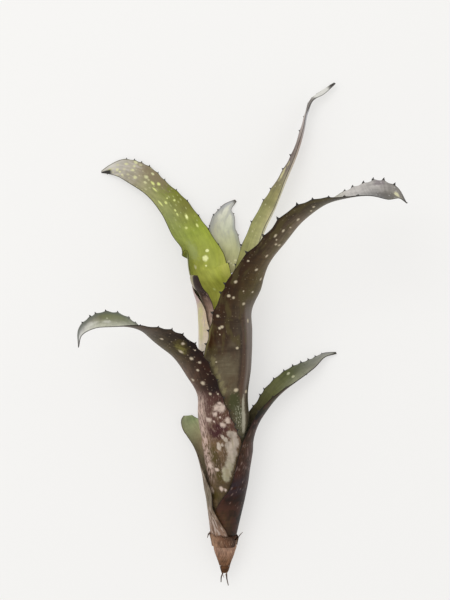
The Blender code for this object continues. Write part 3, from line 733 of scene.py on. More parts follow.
class Skin:
    """A material that is drawn from a piece's own surface coordinates, in millimetres.

    u and v run across and along the piece, across and along are the same as shares of its size,
    and margin is the distance from its nearer edge. shade is the colour so far.
    """

    def __init__(self, name, length=1.0):
        self.material = bpy.data.materials.new(name)
        self.material.use_nodes = True
        self.tree = self.material.node_tree
        self.tree.nodes.clear()
        self.length = length
        self.shade = None
        self.surface = self.add("ShaderNodeUVMap", {"uv_map": SURFACE_MAP})
        self.u, self.v, _ = self.split(self.surface)
        place = self.add("ShaderNodeAttribute", {"attribute_name": PLACE_DATA}, output="Vector")
        self.across, self.along, self.margin = self.split(place)

    def add(self, kind, settings=None, sockets=None, output=0):
        """One node of a type: its settings are made before its sockets get their values or links.

        It gives the output that is named, or a list of them all for None.
        """
        node = self.tree.nodes.new(kind)
        for name, setting in (settings or {}).items():
            if name == "stops":
                self.set_stops(node.color_ramp, setting)
            else:
                setattr(node, name, setting)
        for name, value in (sockets or {}).items():
            if isinstance(value, Value):
                self.tree.links.new(value.socket, node.inputs[name])
            else:
                node.inputs[name].default_value = value
        if output is None:
            return [Value(self, socket) for socket in node.outputs]
        return Value(self, node.outputs[output])

    @staticmethod
    def set_stops(ramp, stops):
        """The places and colours of a ramp, which has two of them when it is made."""
        for _ in stops[2:]:
            ramp.elements.new(1.0)
        for element, (place, code) in zip(ramp.elements, stops):
            element.position = place
            element.color = (*linear(code), 1)

    def split(self, vector):
        """The three numbers of a vector."""
        return self.add("ShaderNodeSeparateXYZ", {}, {0: vector}, None)

    # Colours

    def shades(self, amount, *stops):
        """A colour that runs through stops, each a place and a screen colour, as amount rises."""
        return self.add("ShaderNodeValToRGB", {"stops": stops}, {"Fac": amount}, "Color")

    def run(self, *stops):
        """A colour that runs along the piece through stops; their places are in millimetres."""
        return self.shades(self.along, *((place / self.length, code) for place, code in stops))

    def mix(self, below, above, amount):
        """The colour below with the one above laid over it; either may be a screen colour."""
        sockets = {MIX_AMOUNT: amount, MIX_BELOW: below, MIX_ABOVE: above}
        for name in (MIX_BELOW, MIX_ABOVE):
            if isinstance(sockets[name], int):
                sockets[name] = (*linear(sockets[name]), 1)
        settings = {"data_type": "RGBA", "clamp_factor": True}
        return self.add("ShaderNodeMix", settings, sockets, MIX_RESULT)

    def toned(self, shade, tone):
        """A colour made lighter or darker; a tone of 1 leaves it as it is."""
        return self.add("ShaderNodeVectorMath", {"operation": "SCALE"}, {0: shade, "Scale": tone})

    # Patterns, which say how much of something there is at each place

    def noise(self, wide, long=None, detail=2.0, shift=0.0):
        """Soft random numbers near a half, with features of about this width and length."""
        return self.add(
            "ShaderNodeTexNoise", {"noise_dimensions": "2D"},
            {"Vector": self.stretched(wide, long or wide, shift), "Scale": 1.0, "Detail": detail})

    def swing(self, depth, *size):
        """Soft random numbers round 0, which reach this depth at the most."""
        return (self.noise(*size) - 0.5) * (2 * depth)

    def stretched(self, wide, long, shift):
        """Surface coordinates in units that are so many millimetres wide and long."""
        return self.add(
            "ShaderNodeMapping", {"vector_type": "POINT"},
            {"Vector": self.surface, "Scale": (1 / wide, 1 / long, 1),
             "Location": (shift, shift * SHIFT_SLANT, 0)})

    def flecks(self, spacing, radius, kept, shift=0.0, stretch=1.0):
        """Round flecks of many sizes, one in each cell of the spacing that is among those kept."""
        settings = {"voronoi_dimensions": "2D"}
        sockets = {"Vector": self.stretched(spacing, spacing * stretch, shift),
                   "Scale": 1.0, "Randomness": FLECK_SCATTER}
        distance = self.add("ShaderNodeTexVoronoi", settings, sockets, "Distance")
        chance, size, _ = self.split(self.add("ShaderNodeTexVoronoi", settings, sockets, "Color"))
        edge = (SMALLEST_FLECK + (1 - SMALLEST_FLECK) * size) * (radius / spacing)
        return distance.eased(edge * (1 + FLECK_BLUR), edge * (1 - FLECK_BLUR)) * (chance < kept)

    def spots(self, places, ragged=0.25, blur=0.35, merge=0.05):
        """Spots with ragged outlines, each given as (across, along, half width, half length).

        Spots that lie within the merge of each other, as a share of their size, flow together.
        """
        nearest = None
        for u, v, wide, long in places:
            centred = self.add(
                "ShaderNodeVectorMath", {"operation": "MULTIPLY_ADD"},
                {0: self.surface, 1: (1 / wide, 1 / long, 0), 2: (-u / wide, -v / long, 0)})
            away = self.add("ShaderNodeVectorMath", {"operation": "LENGTH"}, {0: centred}, "Value")
            nearest = away if nearest is None else nearest.math("SMOOTH_MIN", nearest, away, merge)
        return (nearest + self.swing(ragged, *SPOT_WANDER)).eased(1 + blur, 1 - blur)

    def grain(self, *depths, shift=0.0):
        """How light each place is; depths says how strong each pattern of GRAIN is."""
        tone = 1
        for (wide, long, detail, own_shift), depth in zip(GRAIN, depths):
            tone = tone + self.swing(depth, wide, long, detail, shift + own_shift)
        return tone

    def between(self, low, high, blur):
        """1 between two places along the piece, fading out over the blur at each."""
        return self.v.eased(low - blur, low + blur) * self.v.eased(high + blur, high - blur)

    # Steps that add to the colour so far, and the last one, which gives the material

    def ground(self, *stops, middle=0.0, blur=0.7):
        """A leaf's main colour: each stop is a place along it and a colour, or one for each side.

        The start edge's side and the end edge's side blend round the middle. None skips a side.
        """
        sides = [self.run(*((stop[0], stop[side]) for stop in stops if stop[side] is not None))
                 for side in (1, -1)]
        self.shade = self.mix(*sides, self.across.eased(middle - blur, middle + blur))

    def mottled(self, size, dark, light):
        """A colour that wanders between a dark and a light one."""
        self.shade = self.shades(self.noise(size), *zip(MOTTLE_STOPS, (dark, light)))

    def grained(self, *depths):
        """The colour so far with veins, mottling and cross bands of these depths."""
        self.shade = self.toned(self.shade, self.grain(*depths))

    def lay(self, above, amount):
        """The colour so far with another one laid over it by an amount."""
        self.shade = self.mix(self.shade, above, amount)

    def mark(self, code, amount, places, *outline):
        """Spots of a colour, laid on by an amount."""
        self.lay(code, self.spots(places, *outline) * amount)

    def edge(self, code, wide, amount):
        """A thin line of a colour along the edges."""
        self.lay(code, self.margin.eased(wide, wide * EDGE_SOFTNESS) * amount)

    def finish(self, roughness, height=None, depth=0.0, **light):
        """The material, from a roughness, the height and depth of its bumps, and how it is lit."""
        sockets = {"Base Color": self.shade, "Roughness": roughness, **light}
        if height is not None:
            bumps = {"Height": height, "Distance": depth * MM, "Strength": 1.0}
            sockets["Normal"] = self.add("ShaderNodeBump", {}, bumps, "Normal")
        surface = self.add("ShaderNodeBsdfPrincipled", {}, sockets)
        self.add("ShaderNodeOutputMaterial", {}, {"Surface": surface}, None)
        return self.material

    def veined(self, roughness, long, depth, light):
        """The material of a leaf's face, with bumps along veins of this length."""
        return self.finish(roughness, self.noise(VEIN_WIDTH, long, 2), depth, **light)


# ---------------------------------------------------------------- pieces


def settings_of(context):
    return context.scene.billbergia


class LeafOperator:
    """What the leaf operators share: each one builds the leaf that it names, with its own skins.

    outer and inner draw the skins of its lower and upper face. Their places are in millimetres
    from the midrib and from the leaf's foot.
    """

    bl_options = {"REGISTER", "UNDO"}
    node = ""

    def execute(self, context):
        settings = settings_of(context).leaves
        leaf = LEAVES[self.node]
        strip = leaf_strip(leaf)
        mouth = step_lengths(sheath_rows(leaf, row_heights(leaf.starts, SHEATH_ROW_STEP))).sum()
        past = np.clip((strip.places - mouth) / (strip.places[-1] - mouth), 0, 1)
        thickness = SHEATH_THICKNESS + (TIP_THICKNESS - SHEATH_THICKNESS) * past**TIP_POWER
        depth = np.minimum(settings.tooth_depth / MM * leaf.scallop, strip.half_width * TOOTH_SHARE)
        inward = [drawn_in(strip.places, spines) * depth for spines in leaf.spines]
        wave = settings.ripple / MM * (SHEATH_RIPPLE + (1 - SHEATH_RIPPLE) * past)

        def lift(shares, strip):
            return wave[:, None] * ripple(shares, strip.places, leaf.layer)

        body = Body()
        cut = np.interp(strip.places, *zip(*leaf.start_cut))
        body.add_strip(*strip_grid(strip, thickness, inward, lift, cut))
        for end, spines in enumerate(leaf.spines):
            add_spines(body, strip, end, spines, leaf.spine_size, settings)
        length = strip.places[-1]
        skins = [self.outer(Skin(self.node + "_outer", length)),
                 self.inner(Skin(self.node + "_inner", length)), spine_skin()]
        body.make(self.node, skins)
        return {"FINISHED"}


def ripple(shares, places, seed):
    """A gentle waviness over a leaf, strongest near its edges, as a share of its height."""
    u, v = shares, places[:, None]
    return sum(np.sin(v / long + leaf_shift * seed + shift * u) * (middle + edge * u * u)
               for long, leaf_shift, shift, middle, edge in RIPPLES)


def spine_skin():
    """The dark, horny finish that all the spines share."""
    if "spine" in bpy.data.materials:
        return bpy.data.materials["spine"]
    skin = Skin("spine")
    skin.mottled(2.0, 0x17130E, 0x2B2218)
    return skin.finish(0.45)


class BILLBERGIA_OT_leaf_short_left(LeafOperator, Operator):
    """Build the oldest leaf, short and blunt, low on the left."""

    bl_idname = "billbergia.leaf_short_left"
    bl_label = "Short left leaf"
    node = "leaf_short_left"

    def outer(self, skin):
        skin.ground(
            (8, 0x846957, 0x8A6F5C), (24, 0x6E6450, 0x7A6650), (40, 0xAA9A86, 0x85735D),
            (60, 0x96836A))
        skin.grained(0.45, 0.5, 0.2)
        skin.lay(0x4A382C, skin.noise(1.8, 9, 3, 5).eased(0.52, 0.68) * 0.7)
        skin.lay(
            0xB9A79B, skin.noise(1.6, 6, 3, 8).eased(0.46, 0.62) * skin.between(2, 20, 4) * 0.75)
        skin.lay(
            0xA79C90, skin.noise(0.8, 12, 3, 12).eased(0.55, 0.68) * skin.v.eased(16, 24) * 0.7)
        skin.lay(0x4E4032, skin.v.eased(24, 34) * skin.noise(1.4, 8, 3, 2).eased(0.35, 0.6) * 0.75)
        skin.edge(0x3A2C20, 0.6, 0.7)
        return skin.veined(0.6, 20, 0.08, DRY)

    def inner(self, skin):
        skin.ground(
            (40, 0xDFD2B1, 0xC8B890), (56, 0xA5A27F, 0xCEBC97), (72, 0xA8B189, 0x94A174))
        skin.grained(0.25, 0.25, 0.1)
        skin.edge(0x4A442C, 0.7, 0.8)
        return skin.veined(0.5, 20, 0.05, WAXY)


class BILLBERGIA_OT_leaf_lower_right(LeafOperator, Operator):
    """Build the short arching leaf, low on the right."""

    bl_idname = "billbergia.leaf_lower_right"
    bl_label = "Lower right leaf"
    node = "leaf_lower_right"

    def outer(self, skin):
        skin.ground(
            (8, 0x040303, 0x533A23), (24, 0x040303, 0x2D1003), (40, 0x32231E, 0x2E1103),
            (56, 0x36251F, 0x3B240F), (72, 0x352822, 0x060303), (90, 0x3B3022, 0x3D3F22),
            (112, 0x4F4239, 0x594942), middle=0.5, blur=0.5)
        skin.grained(0.45, 0.7, 0.35)
        skin.lay(0x46271C, skin.noise(5, 7, 3, 4).eased(0.45, 0.62) * 0.6)
        skin.lay(
            0x766058, skin.noise(2.2, 5, 4, 14).eased(0.55, 0.7) * skin.between(40, 66, 6) * 0.6)
        skin.lay(0x2A2026, skin.between(27, 37, 4) * skin.noise(7, 4, 3, 2).eased(0.3, 0.55) * 0.8)
        skin.lay(0x1D130D, skin.between(20, 26, 2) * skin.noise(6, 3, 2, 5).eased(0.4, 0.6) * 0.6)
        skin.lay(0x7A665C, skin.flecks(2.2, 0.5, 0.35, stretch=1.8) * skin.between(15, 75, 8) * 0.5)
        skin.lay(
            0x8A7068, skin.noise(0.7, 5, 4, 9).eased(0.6, 0.72) * skin.between(30, 60, 10) * 0.25)
        skin.edge(0x1C1610, 0.6, 0.8)
        return skin.veined(0.45, 24, 0.06, WAXY)

    def inner(self, skin):
        skin.ground(
            (70, 0x544B36, 0x5C5D3C), (88, 0x6D6D42, 0x757A53), (104, 0x525630, 0x9A9C80),
            (118, 0x7B7C6F, 0x969585), (131, 0x979691, 0x9B9C90))
        skin.grained(0.2, 0.3, 0.15)
        skin.mark(0xC9C9A6, 0.8, ((-4.9, 103.3, 0.8, 1.0), (-1.0, 104.2, 0.9, 1.0)))
        skin.edge(0x2E2A1C, 0.6, 0.9)
        skin.lay(0x39352A, skin.v.eased(131, 135))
        return skin.veined(0.5, 20, 0.05, WAXY)


class BILLBERGIA_OT_leaf_lower_left(LeafOperator, Operator):
    """Build the leaf that wraps the front of the tube and arches out to the left."""

    bl_idname = "billbergia.leaf_lower_left"
    bl_label = "Lower left leaf"
    node = "leaf_lower_left"
    pale_spots = (
        (-2.2, 132, 0.82, 0.9), (-7.7, 122, 0.82, 0.66), (-5.1, 112.1, 0.9, 0.98),
        (-8, 108.5, 0.66, 0.66), (-4.9, 104, 0.74, 0.74), (-9.9, 115.7, 0.41, 0.33),
        (1.5, 96.7, 1.07, 0.9), (-4.8, 94.9, 1.15, 1.23), (-8.1, 86.8, 0.74, 0.9),
        (-12.7, 86.8, 0.49, 0.57), (-2.6, 118.4, 0.82, 1.23))
    splotches = (
        (-12.2, 77.7, 1.6, 1.8), (-11.6, 74.1, 1.4, 1.2), (-15.3, 77.7, 1.9, 2.3),
        (-18.9, 70.5, 1.5, 1.6), (-15.8, 67.8, 1.5, 1.4), (-13.7, 80.5, 1, 0.9),
        (-14.8, 72.3, 0.6, 0.6), (-7.3, 70.5, 1.8, 1.2), (-10.9, 69.6, 0.6, 0.6),
        (-2.3, 41.6, 2, 1.4), (-6.9, 39.8, 1.2, 1), (0, 26.2, 1.8, 2), (-7.9, 28, 1, 1.6),
        (-10.2, 27.1, 0.7, 1))
    silver = (
        (-19.8, 61.8, 3, 2.2), (-20.5, 57, 2.6, 3.5), (-17.6, 54.4, 3.2, 3), (-18.2, 50.6, 3, 3),
        (-16.6, 46.6, 2.4, 3.2), (-14.8, 42.6, 2.4, 3.4), (-12.6, 38.6, 2.8, 3.6),
        (-11.8, 35.2, 2.2, 2.8), (-13.9, 60.4, 0.9, 1.3), (-15.4, 58.6, 1.2, 1.6),
        (-10.7, 54.4, 1.3, 2.4), (-12.8, 55.4, 0.8, 0.9))
    olive = ((-6, 122, 3, 4), (-5.6, 48.8, 3, 6), (-8.1, 36.2, 2.6, 4), (-2.5, 23.5, 4, 3))

    def outer(self, skin):
        skin.ground(
            (24, 0x281A03, 0x816C4E), (40, 0x5B4A34, 0x342212), (56, 0x6C5842, 0x6C4D28),
            (72, 0x5F4734, 0xBBA698), (88, 0x0A0303, 0x553417), (104, 0x2C1203, 0x594637),
            (120, 0x120303, 0x493C19), (150, 0x504130, 0x4B3F2E), middle=-0.2, blur=0.6)
        skin.grained(0.45, 0.65, 0.3)
        reddish = skin.between(60, 88, 6) * skin.noise(4, 6, 2, 6).eased(0.25, 0.55)
        skin.lay(0x51302A, reddish * 0.75)
        skin.mark(0x3D191D, 0.9, ((-11, 62.4, 4.5, 3.2), (-14, 66, 4, 2.5)), 0.8, 0.6)
        skin.mark(0x4B4019, 0.85, self.olive, 0.8, 0.6)
        skin.mark(0x837C3E, 0.55, ((-4, 120, 1.8, 3.2),), 0.9, 0.7)
        scurf = skin.noise(1.1, 3.6, 4, 11).eased(0.42, 0.56) * skin.between(34, 84, 7)
        skin.lay(0xCBB0A2, scurf * skin.u.eased(-7, -1) * 0.9)
        skin.lay(
            0xA08A7C, skin.noise(0.8, 2.6, 4, 17).eased(0.58, 0.7) * skin.between(34, 86, 6) * 0.55)
        farther = skin.v.eased(34, 56) + (skin.noise(2, 2.5, 3, 9) - 0.5)
        silver = skin.mix(0x9D967C, 0xB3A596, farther)
        silver = skin.toned(silver, skin.grain(0.2, 0.5, 0.1, shift=5) * 0.93)
        skin.lay(silver, skin.spots(self.silver, 0.35, 0.3, 0.5))
        skin.mark(0x8C7E5C, 0.4, ((-13, 38, 1.2, 3), (-19, 57, 0.5, 3.4)), 0.6, 0.6)
        skin.lay(0xC6B2A4, skin.spots(self.splotches, 0.7, 0.6, 0.35))
        skin.mark(0xC9BAA2, 0.9, self.pale_spots, 0.5, 0.75)
        skin.lay(0x8A7A66, skin.flecks(2.4, 0.45, 0.3) * skin.between(60, 140, 10) * 0.6)
        skin.edge(0x1A140D, 0.7, 0.9)
        return skin.veined(0.47, 24, 0.07, WAXY)

    def inner(self, skin):
        skin.ground(
            (152, 0xABAB94, 0x83856F), (168, 0xAFAF9A, 0x5D5A39), (184, 0xC9C8C1, 0x9E9C9C))
        skin.grained(0.2, 0.3, 0.2)
        skin.mark(0x70754F, 0.6, ((6, 159, 3, 5), (4, 164.5, 3, 4)), 0.5, 0.6)
        skin.mark(0xD8D7CC, 0.5, ((-0.3, 165, 1.4, 2.2), (0, 174.5, 1.6, 3)), 0.8, 0.7)
        skin.lay(0x565C50, skin.margin.eased(4.2, 0.8) * skin.across.eased(0, 0.3) * 0.8)
        skin.lay(
            0xD9DCBC, skin.flecks(2.6, 0.4, 0.4, stretch=1.6) * skin.between(152, 172, 3) * 0.5)
        skin.edge(0x3B362C, 0.7, 0.85)
        skin.lay(0x3A342B, skin.v.eased(185, 189))
        return skin.veined(0.55, 20, 0.05, SCURFY)


class BILLBERGIA_OT_leaf_front_right(LeafOperator, Operator):
    """Build the dark leaf that makes the front of the tube and arches out to the right."""

    bl_idname = "billbergia.leaf_front_right"
    bl_label = "Front right leaf"
    node = "leaf_front_right"
    pale_spots = (
        (9.5, 150.9, 0.82, 0.82), (11.2, 141.8, 0.82, 0.82), (8.4, 140.9, 0.66, 0.74),
        (1.9, 136.4, 0.9, 0.9), (3.4, 145.5, 0.41, 0.49), (-2.8, 144.6, 0.57, 0.66),
        (9.1, 165.3, 0.57, 0.49), (1.5, 160.8, 0.82, 0.82), (16.1, 122, 0.82, 0.74),
        (17.5, 121.1, 0.66, 0.66), (17.9, 128.3, 0.74, 0.74), (7.9, 109.3, 0.82, 0.66),
        (0.9, 171.7, 0.66, 0.98), (-6, 153.6, 0.82, 0.9), (5.1, 185.2, 0.57, 0.9),
        (2.8, 189.7, 0.66, 0.82), (1.1, 180.7, 0.74, 0.57), (-1.9, 180.7, 0.9, 0.74),
        (2.9, 183.4, 0.49, 0.41), (0.1, 193.3, 0.66, 0.41), (0.1, 199.7, 0.82, 0.9),
        (2.9, 211.4, 0.82, 0.66), (-0.1, 208.7, 0.9, 0.49), (-2, 124.7, 0.82, 0.9),
        (-2.7, 82.2, 1.07, 0.9), (17.7, 117.5, 0.33, 0.33), (20, 101.2, 0.49, 0.41),
        (6.1, 84, 1.15, 1.07))

    def outer(self, skin):
        skin.ground(
            (60, 0x5D5744, 0x4B4428), (88, 0x594A3B, 0x442E11), (104, None, 0x351B03),
            (120, 0x5D564A, 0x341D04), (152, 0x564721, 0x2D1603), (168, 0x614E2E, 0x2C1703),
            (184, 0x76674E, None), (200, 0x766550, 0x302313), (216, 0x52481E, 0x393023),
            middle=0.15, blur=0.75)
        skin.grained(0.3, 0.4, 0.25)
        ragged = skin.v + (skin.noise(7, 9, 4, 2) - 0.5) * 26
        worn = ragged.eased(76, 88) * ragged.eased(116, 98) * skin.u.eased(3, 10)
        worn = worn * (0.35 + 0.6 * skin.noise(7, 1.4, 4, 2)) * (0.45 + skin.noise(4, 5, 4, 12))
        skin.lay(0x6F6650, worn)
        skin.lay(
            0x554B28, skin.noise(5, 12, 3, 21).eased(0.48, 0.66) * skin.v.eased(100, 112) * 0.55)
        skin.lay(
            0x2B1E13, skin.between(107.5, 110, 1.2) * skin.noise(8, 2, 2, 3).eased(0.35, 0.6) * 0.5)
        skin.lay(
            0x2B1C12, skin.between(123, 128, 2) * skin.noise(9, 2, 2, 6).eased(0.4, 0.6) * 0.45)
        band = skin.between(76, 132, 8)
        streaks = skin.noise(1.5, 22, 3, 19)
        skin.mark(0x2A1C14, 0.6, ((5, 100, 1, 22), (-3.2, 92, 0.8, 34)), 0.9, 0.8)
        skin.lay(
            0x57392D,
            skin.u.eased(6, 2) * skin.u.eased(-4, -1) * band * streaks.eased(0.35, 0.6) * 0.5)
        skin.lay(
            0x8A8074, skin.spots(((-1.4, 98, 0.8, 30),), 0.9, 0.8) * streaks.eased(0.4, 0.6) * 0.6)
        # Painted reflection: a paler, greyer strip down the tube's right side, where the glancing
        # waxy face reflects the bright surroundings.
        skin.lay(0x7C716A, skin.u.eased(2, -1) * skin.between(82, 134, 8) * 0.65)
        brink = (
            (22, 101, 1.6, 3), (20, 96, 1.4, 2.4), (18, 91.5, 1.5, 2.4), (15.6, 87.5, 1.4, 2.2),
            (13.4, 83.5, 1.3, 2))
        skin.mark(0x857C58, 0.75, brink, 0.9, 0.6)
        skin.lay(0x857B4E, skin.margin.eased(2.2, 0.8) * skin.between(102, 122, 4) * 0.75)
        skin.mark(0x8A8570, 0.7, ((-10, 72, 1.6, 16),), 0.7, 0.6)
        skin.mark(0x37301E, 0.85, ((-5, 72, 1.8, 17),), 0.4, 0.5)
        skin.mark(0x3F4122, 0.9, ((6.7, 77, 3.6, 6), (4, 71, 2.6, 4)), 0.4, 0.4, 0.5)
        skin.mark(0x4F4E36, 0.85, ((3.6, 67, 2.8, 6.5), (6.4, 73, 1.4, 2)), 0.8, 0.6, 0.4)
        speckle = skin.noise(0.9, 1.3, 3, 8).eased(0.52, 0.64)
        skin.lay(0xA09D88, speckle * skin.spots(((3.4, 68, 3.2, 7),), 0.8, 0.6) * 0.8)
        skin.mark(0xA8A38F, 0.9, ((0.2, 66, 1.5, 9), (0, 75, 1.1, 5)), 0.5, 0.4, 0.5)
        skin.lay(0x7A6E58, skin.flecks(2.3, 0.4, 0.3) * 0.5)
        skin.mark(0xCDBFA2, 0.9, self.pale_spots, 0.45, 0.75)
        skin.edge(0x1C150C, 0.7, 0.9)
        return skin.veined(0.45, 24, 0.07, WAXY)

    def inner(self, skin):
        skin.ground(
            (120, 0x7E8050), (220, 0x9C9A84, 0x8C8A74), (232, 0xB9B4AF, 0xA09B96),
            (248, 0xAEA9A4, 0x181410), (264, 0x756F67, 0x726740), middle=0.1, blur=0.7)
        skin.grained(0.2, 0.3, 0.25)
        skin.mark(0x766C70, 0.7, ((-6.8, 250, 2, 2.6),), 0.7, 0.6)
        skin.mark(0x544F49, 0.8, ((3.4, 252.5, 3, 5.5),), 0.6, 0.7)
        skin.mark(0xD6D1A8, 0.95, ((0.4, 259.8, 2.1, 1.8),), 0.4, 0.4)
        skin.lay(0xCBC8C4, skin.flecks(2.6, 0.6, 0.4) * 0.35)
        skin.edge(0x38332B, 0.7, 0.8)
        skin.lay(0x2C251E, skin.v.eased(263, 267))
        return skin.veined(0.55, 20, 0.05, SCURFY)


class BILLBERGIA_OT_leaf_back(LeafOperator, Operator):
    """Build the pale leaf at the back of the crown."""

    bl_idname = "billbergia.leaf_back"
    bl_label = "Back leaf"
    node = "leaf_back"

    def outer(self, skin):
        skin.ground((60, 0x8A7A64), (104, 0xE2D4C3), (120, 0xD4C0A1), (136, 0xAE938F),
            (190, 0x9A9284))
        skin.grained(0.2, 0.2, 0.1)
        skin.mark(0xC9C27E, 0.75, ((-24, 124, 3.5, 7), (-27, 114, 2.5, 6)), 0.8, 0.7)
        skin.lay(0xA89AA4, skin.noise(1.2, 10, 3, 6).eased(0.55, 0.7) * 0.4)
        skin.lay(0xD8D08E, skin.flecks(4.0, 0.7, 0.5) * skin.between(112, 132, 4) * 0.7)
        return skin.veined(0.55, 20, 0.04, SCURFY)

    def inner(self, skin):
        skin.ground(
            (150, 0xC9C596, 0xC9C08A), (168, 0xC0C094, 0xC3C391), (184, 0xC7C5AE, 0xC7C9B1),
            (203, 0xEFEFEF, 0xE8E6D5), middle=-0.3, blur=0.5)
        skin.grained(0.08, 0.22, 0.03)
        spots = (
            (2.6, 162.4, 0.9, 0.7), (6.7, 163.3, 0.9, 0.5), (4.3, 161.5, 0.6, 0.5),
            (6.5, 160.6, 0.8, 0.5), (5.4, 157, 0.6, 0.6))
        skin.mark(0xE6E2B8, 0.9, spots)
        skin.lay(0x90929B, skin.margin.eased(3.6, 0.6) * skin.v.eased(165, 178) * 0.62)
        skin.lay(0xA9A9A6, skin.noise(2.5, 9, 3, 4).eased(0.5, 0.64) * skin.v.eased(172, 186) * 0.5)
        skin.edge(0x4E4A3C, 0.45, 0.8)
        skin.lay(0x55504A, skin.v.eased(200, 202.6))
        return skin.veined(0.6, 20, 0.04, SCURFY)


class BILLBERGIA_OT_leaf_upper_right(LeafOperator, Operator):
    """Build the narrow leaf that reaches highest, to the upper right."""

    bl_idname = "billbergia.leaf_upper_right"
    bl_label = "Upper right leaf"
    node = "leaf_upper_right"

    def outer(self, skin):
        skin.ground((120, 0x8E7F66), (168, 0xD6D1A2), (184, 0xCFC7A7), (200, 0xC5BE99),
            (216, 0xBAAC98), (232, 0x9E877A), (248, 0xAFAEB2), (266, 0x6E6676))
        skin.grained(0.2, 0.25, 0.15)
        skin.edge(0x4A4036, 0.4, 0.6)
        skin.lay(0x4C443E, skin.between(253, 262, 2) * 0.8)
        skin.lay(0xD9D8D1, skin.between(263, 273, 1) * 0.9)
        skin.edge(0x3E3832, 0.35, 0.8)
        skin.lay(0x2E2822, skin.v.eased(273, 275.5))
        return skin.veined(0.55, 20, 0.04, SCURFY)

    def inner(self, skin):
        skin.ground(
            (150, 0x8F8D49, 0xAFAC74), (168, 0x98975D, 0xB4B27D), (184, 0x8E8D57, 0xB6AF7A),
            (200, 0x868054, 0x948C51), (216, 0x6D5F5E, 0x958D70), (232, 0x7F726C, 0x897B67),
            (248, 0xB4A7A5, 0x918675), (266, 0xB1B1A8, 0x807D78), middle=-0.3, blur=0.6)
        skin.grained(0.22, 0.25, 0.15)
        skin.lay(0x73703E, skin.between(189, 194, 2) * 0.5)
        skin.mark(0xD2CC96, 0.8, ((-5.4, 212.3, 0.8, 4.5), (-4.6, 219, 0.5, 2)), 0.4, 0.5)
        skin.lay(0xC9C59A, skin.flecks(3.6, 0.6, 0.35) * skin.between(150, 240, 10) * 0.5)
        skin.edge(0x5A5430, 0.45, 0.85)
        skin.lay(
            0x5E4B44, skin.between(214, 236, 5) * skin.noise(1.5, 6, 3, 5).eased(0.4, 0.6) * 0.5)
        skin.lay(0x4C443E, skin.between(253, 262, 2) * 0.7)
        skin.lay(0xD9D8D1, skin.between(263, 273, 1) * 0.9)
        skin.edge(0x3E3832, 0.35, 0.8)
        skin.lay(0x332D26, skin.v.eased(273, 275.5))
        return skin.veined(0.5, 20, 0.05, SCURFY)


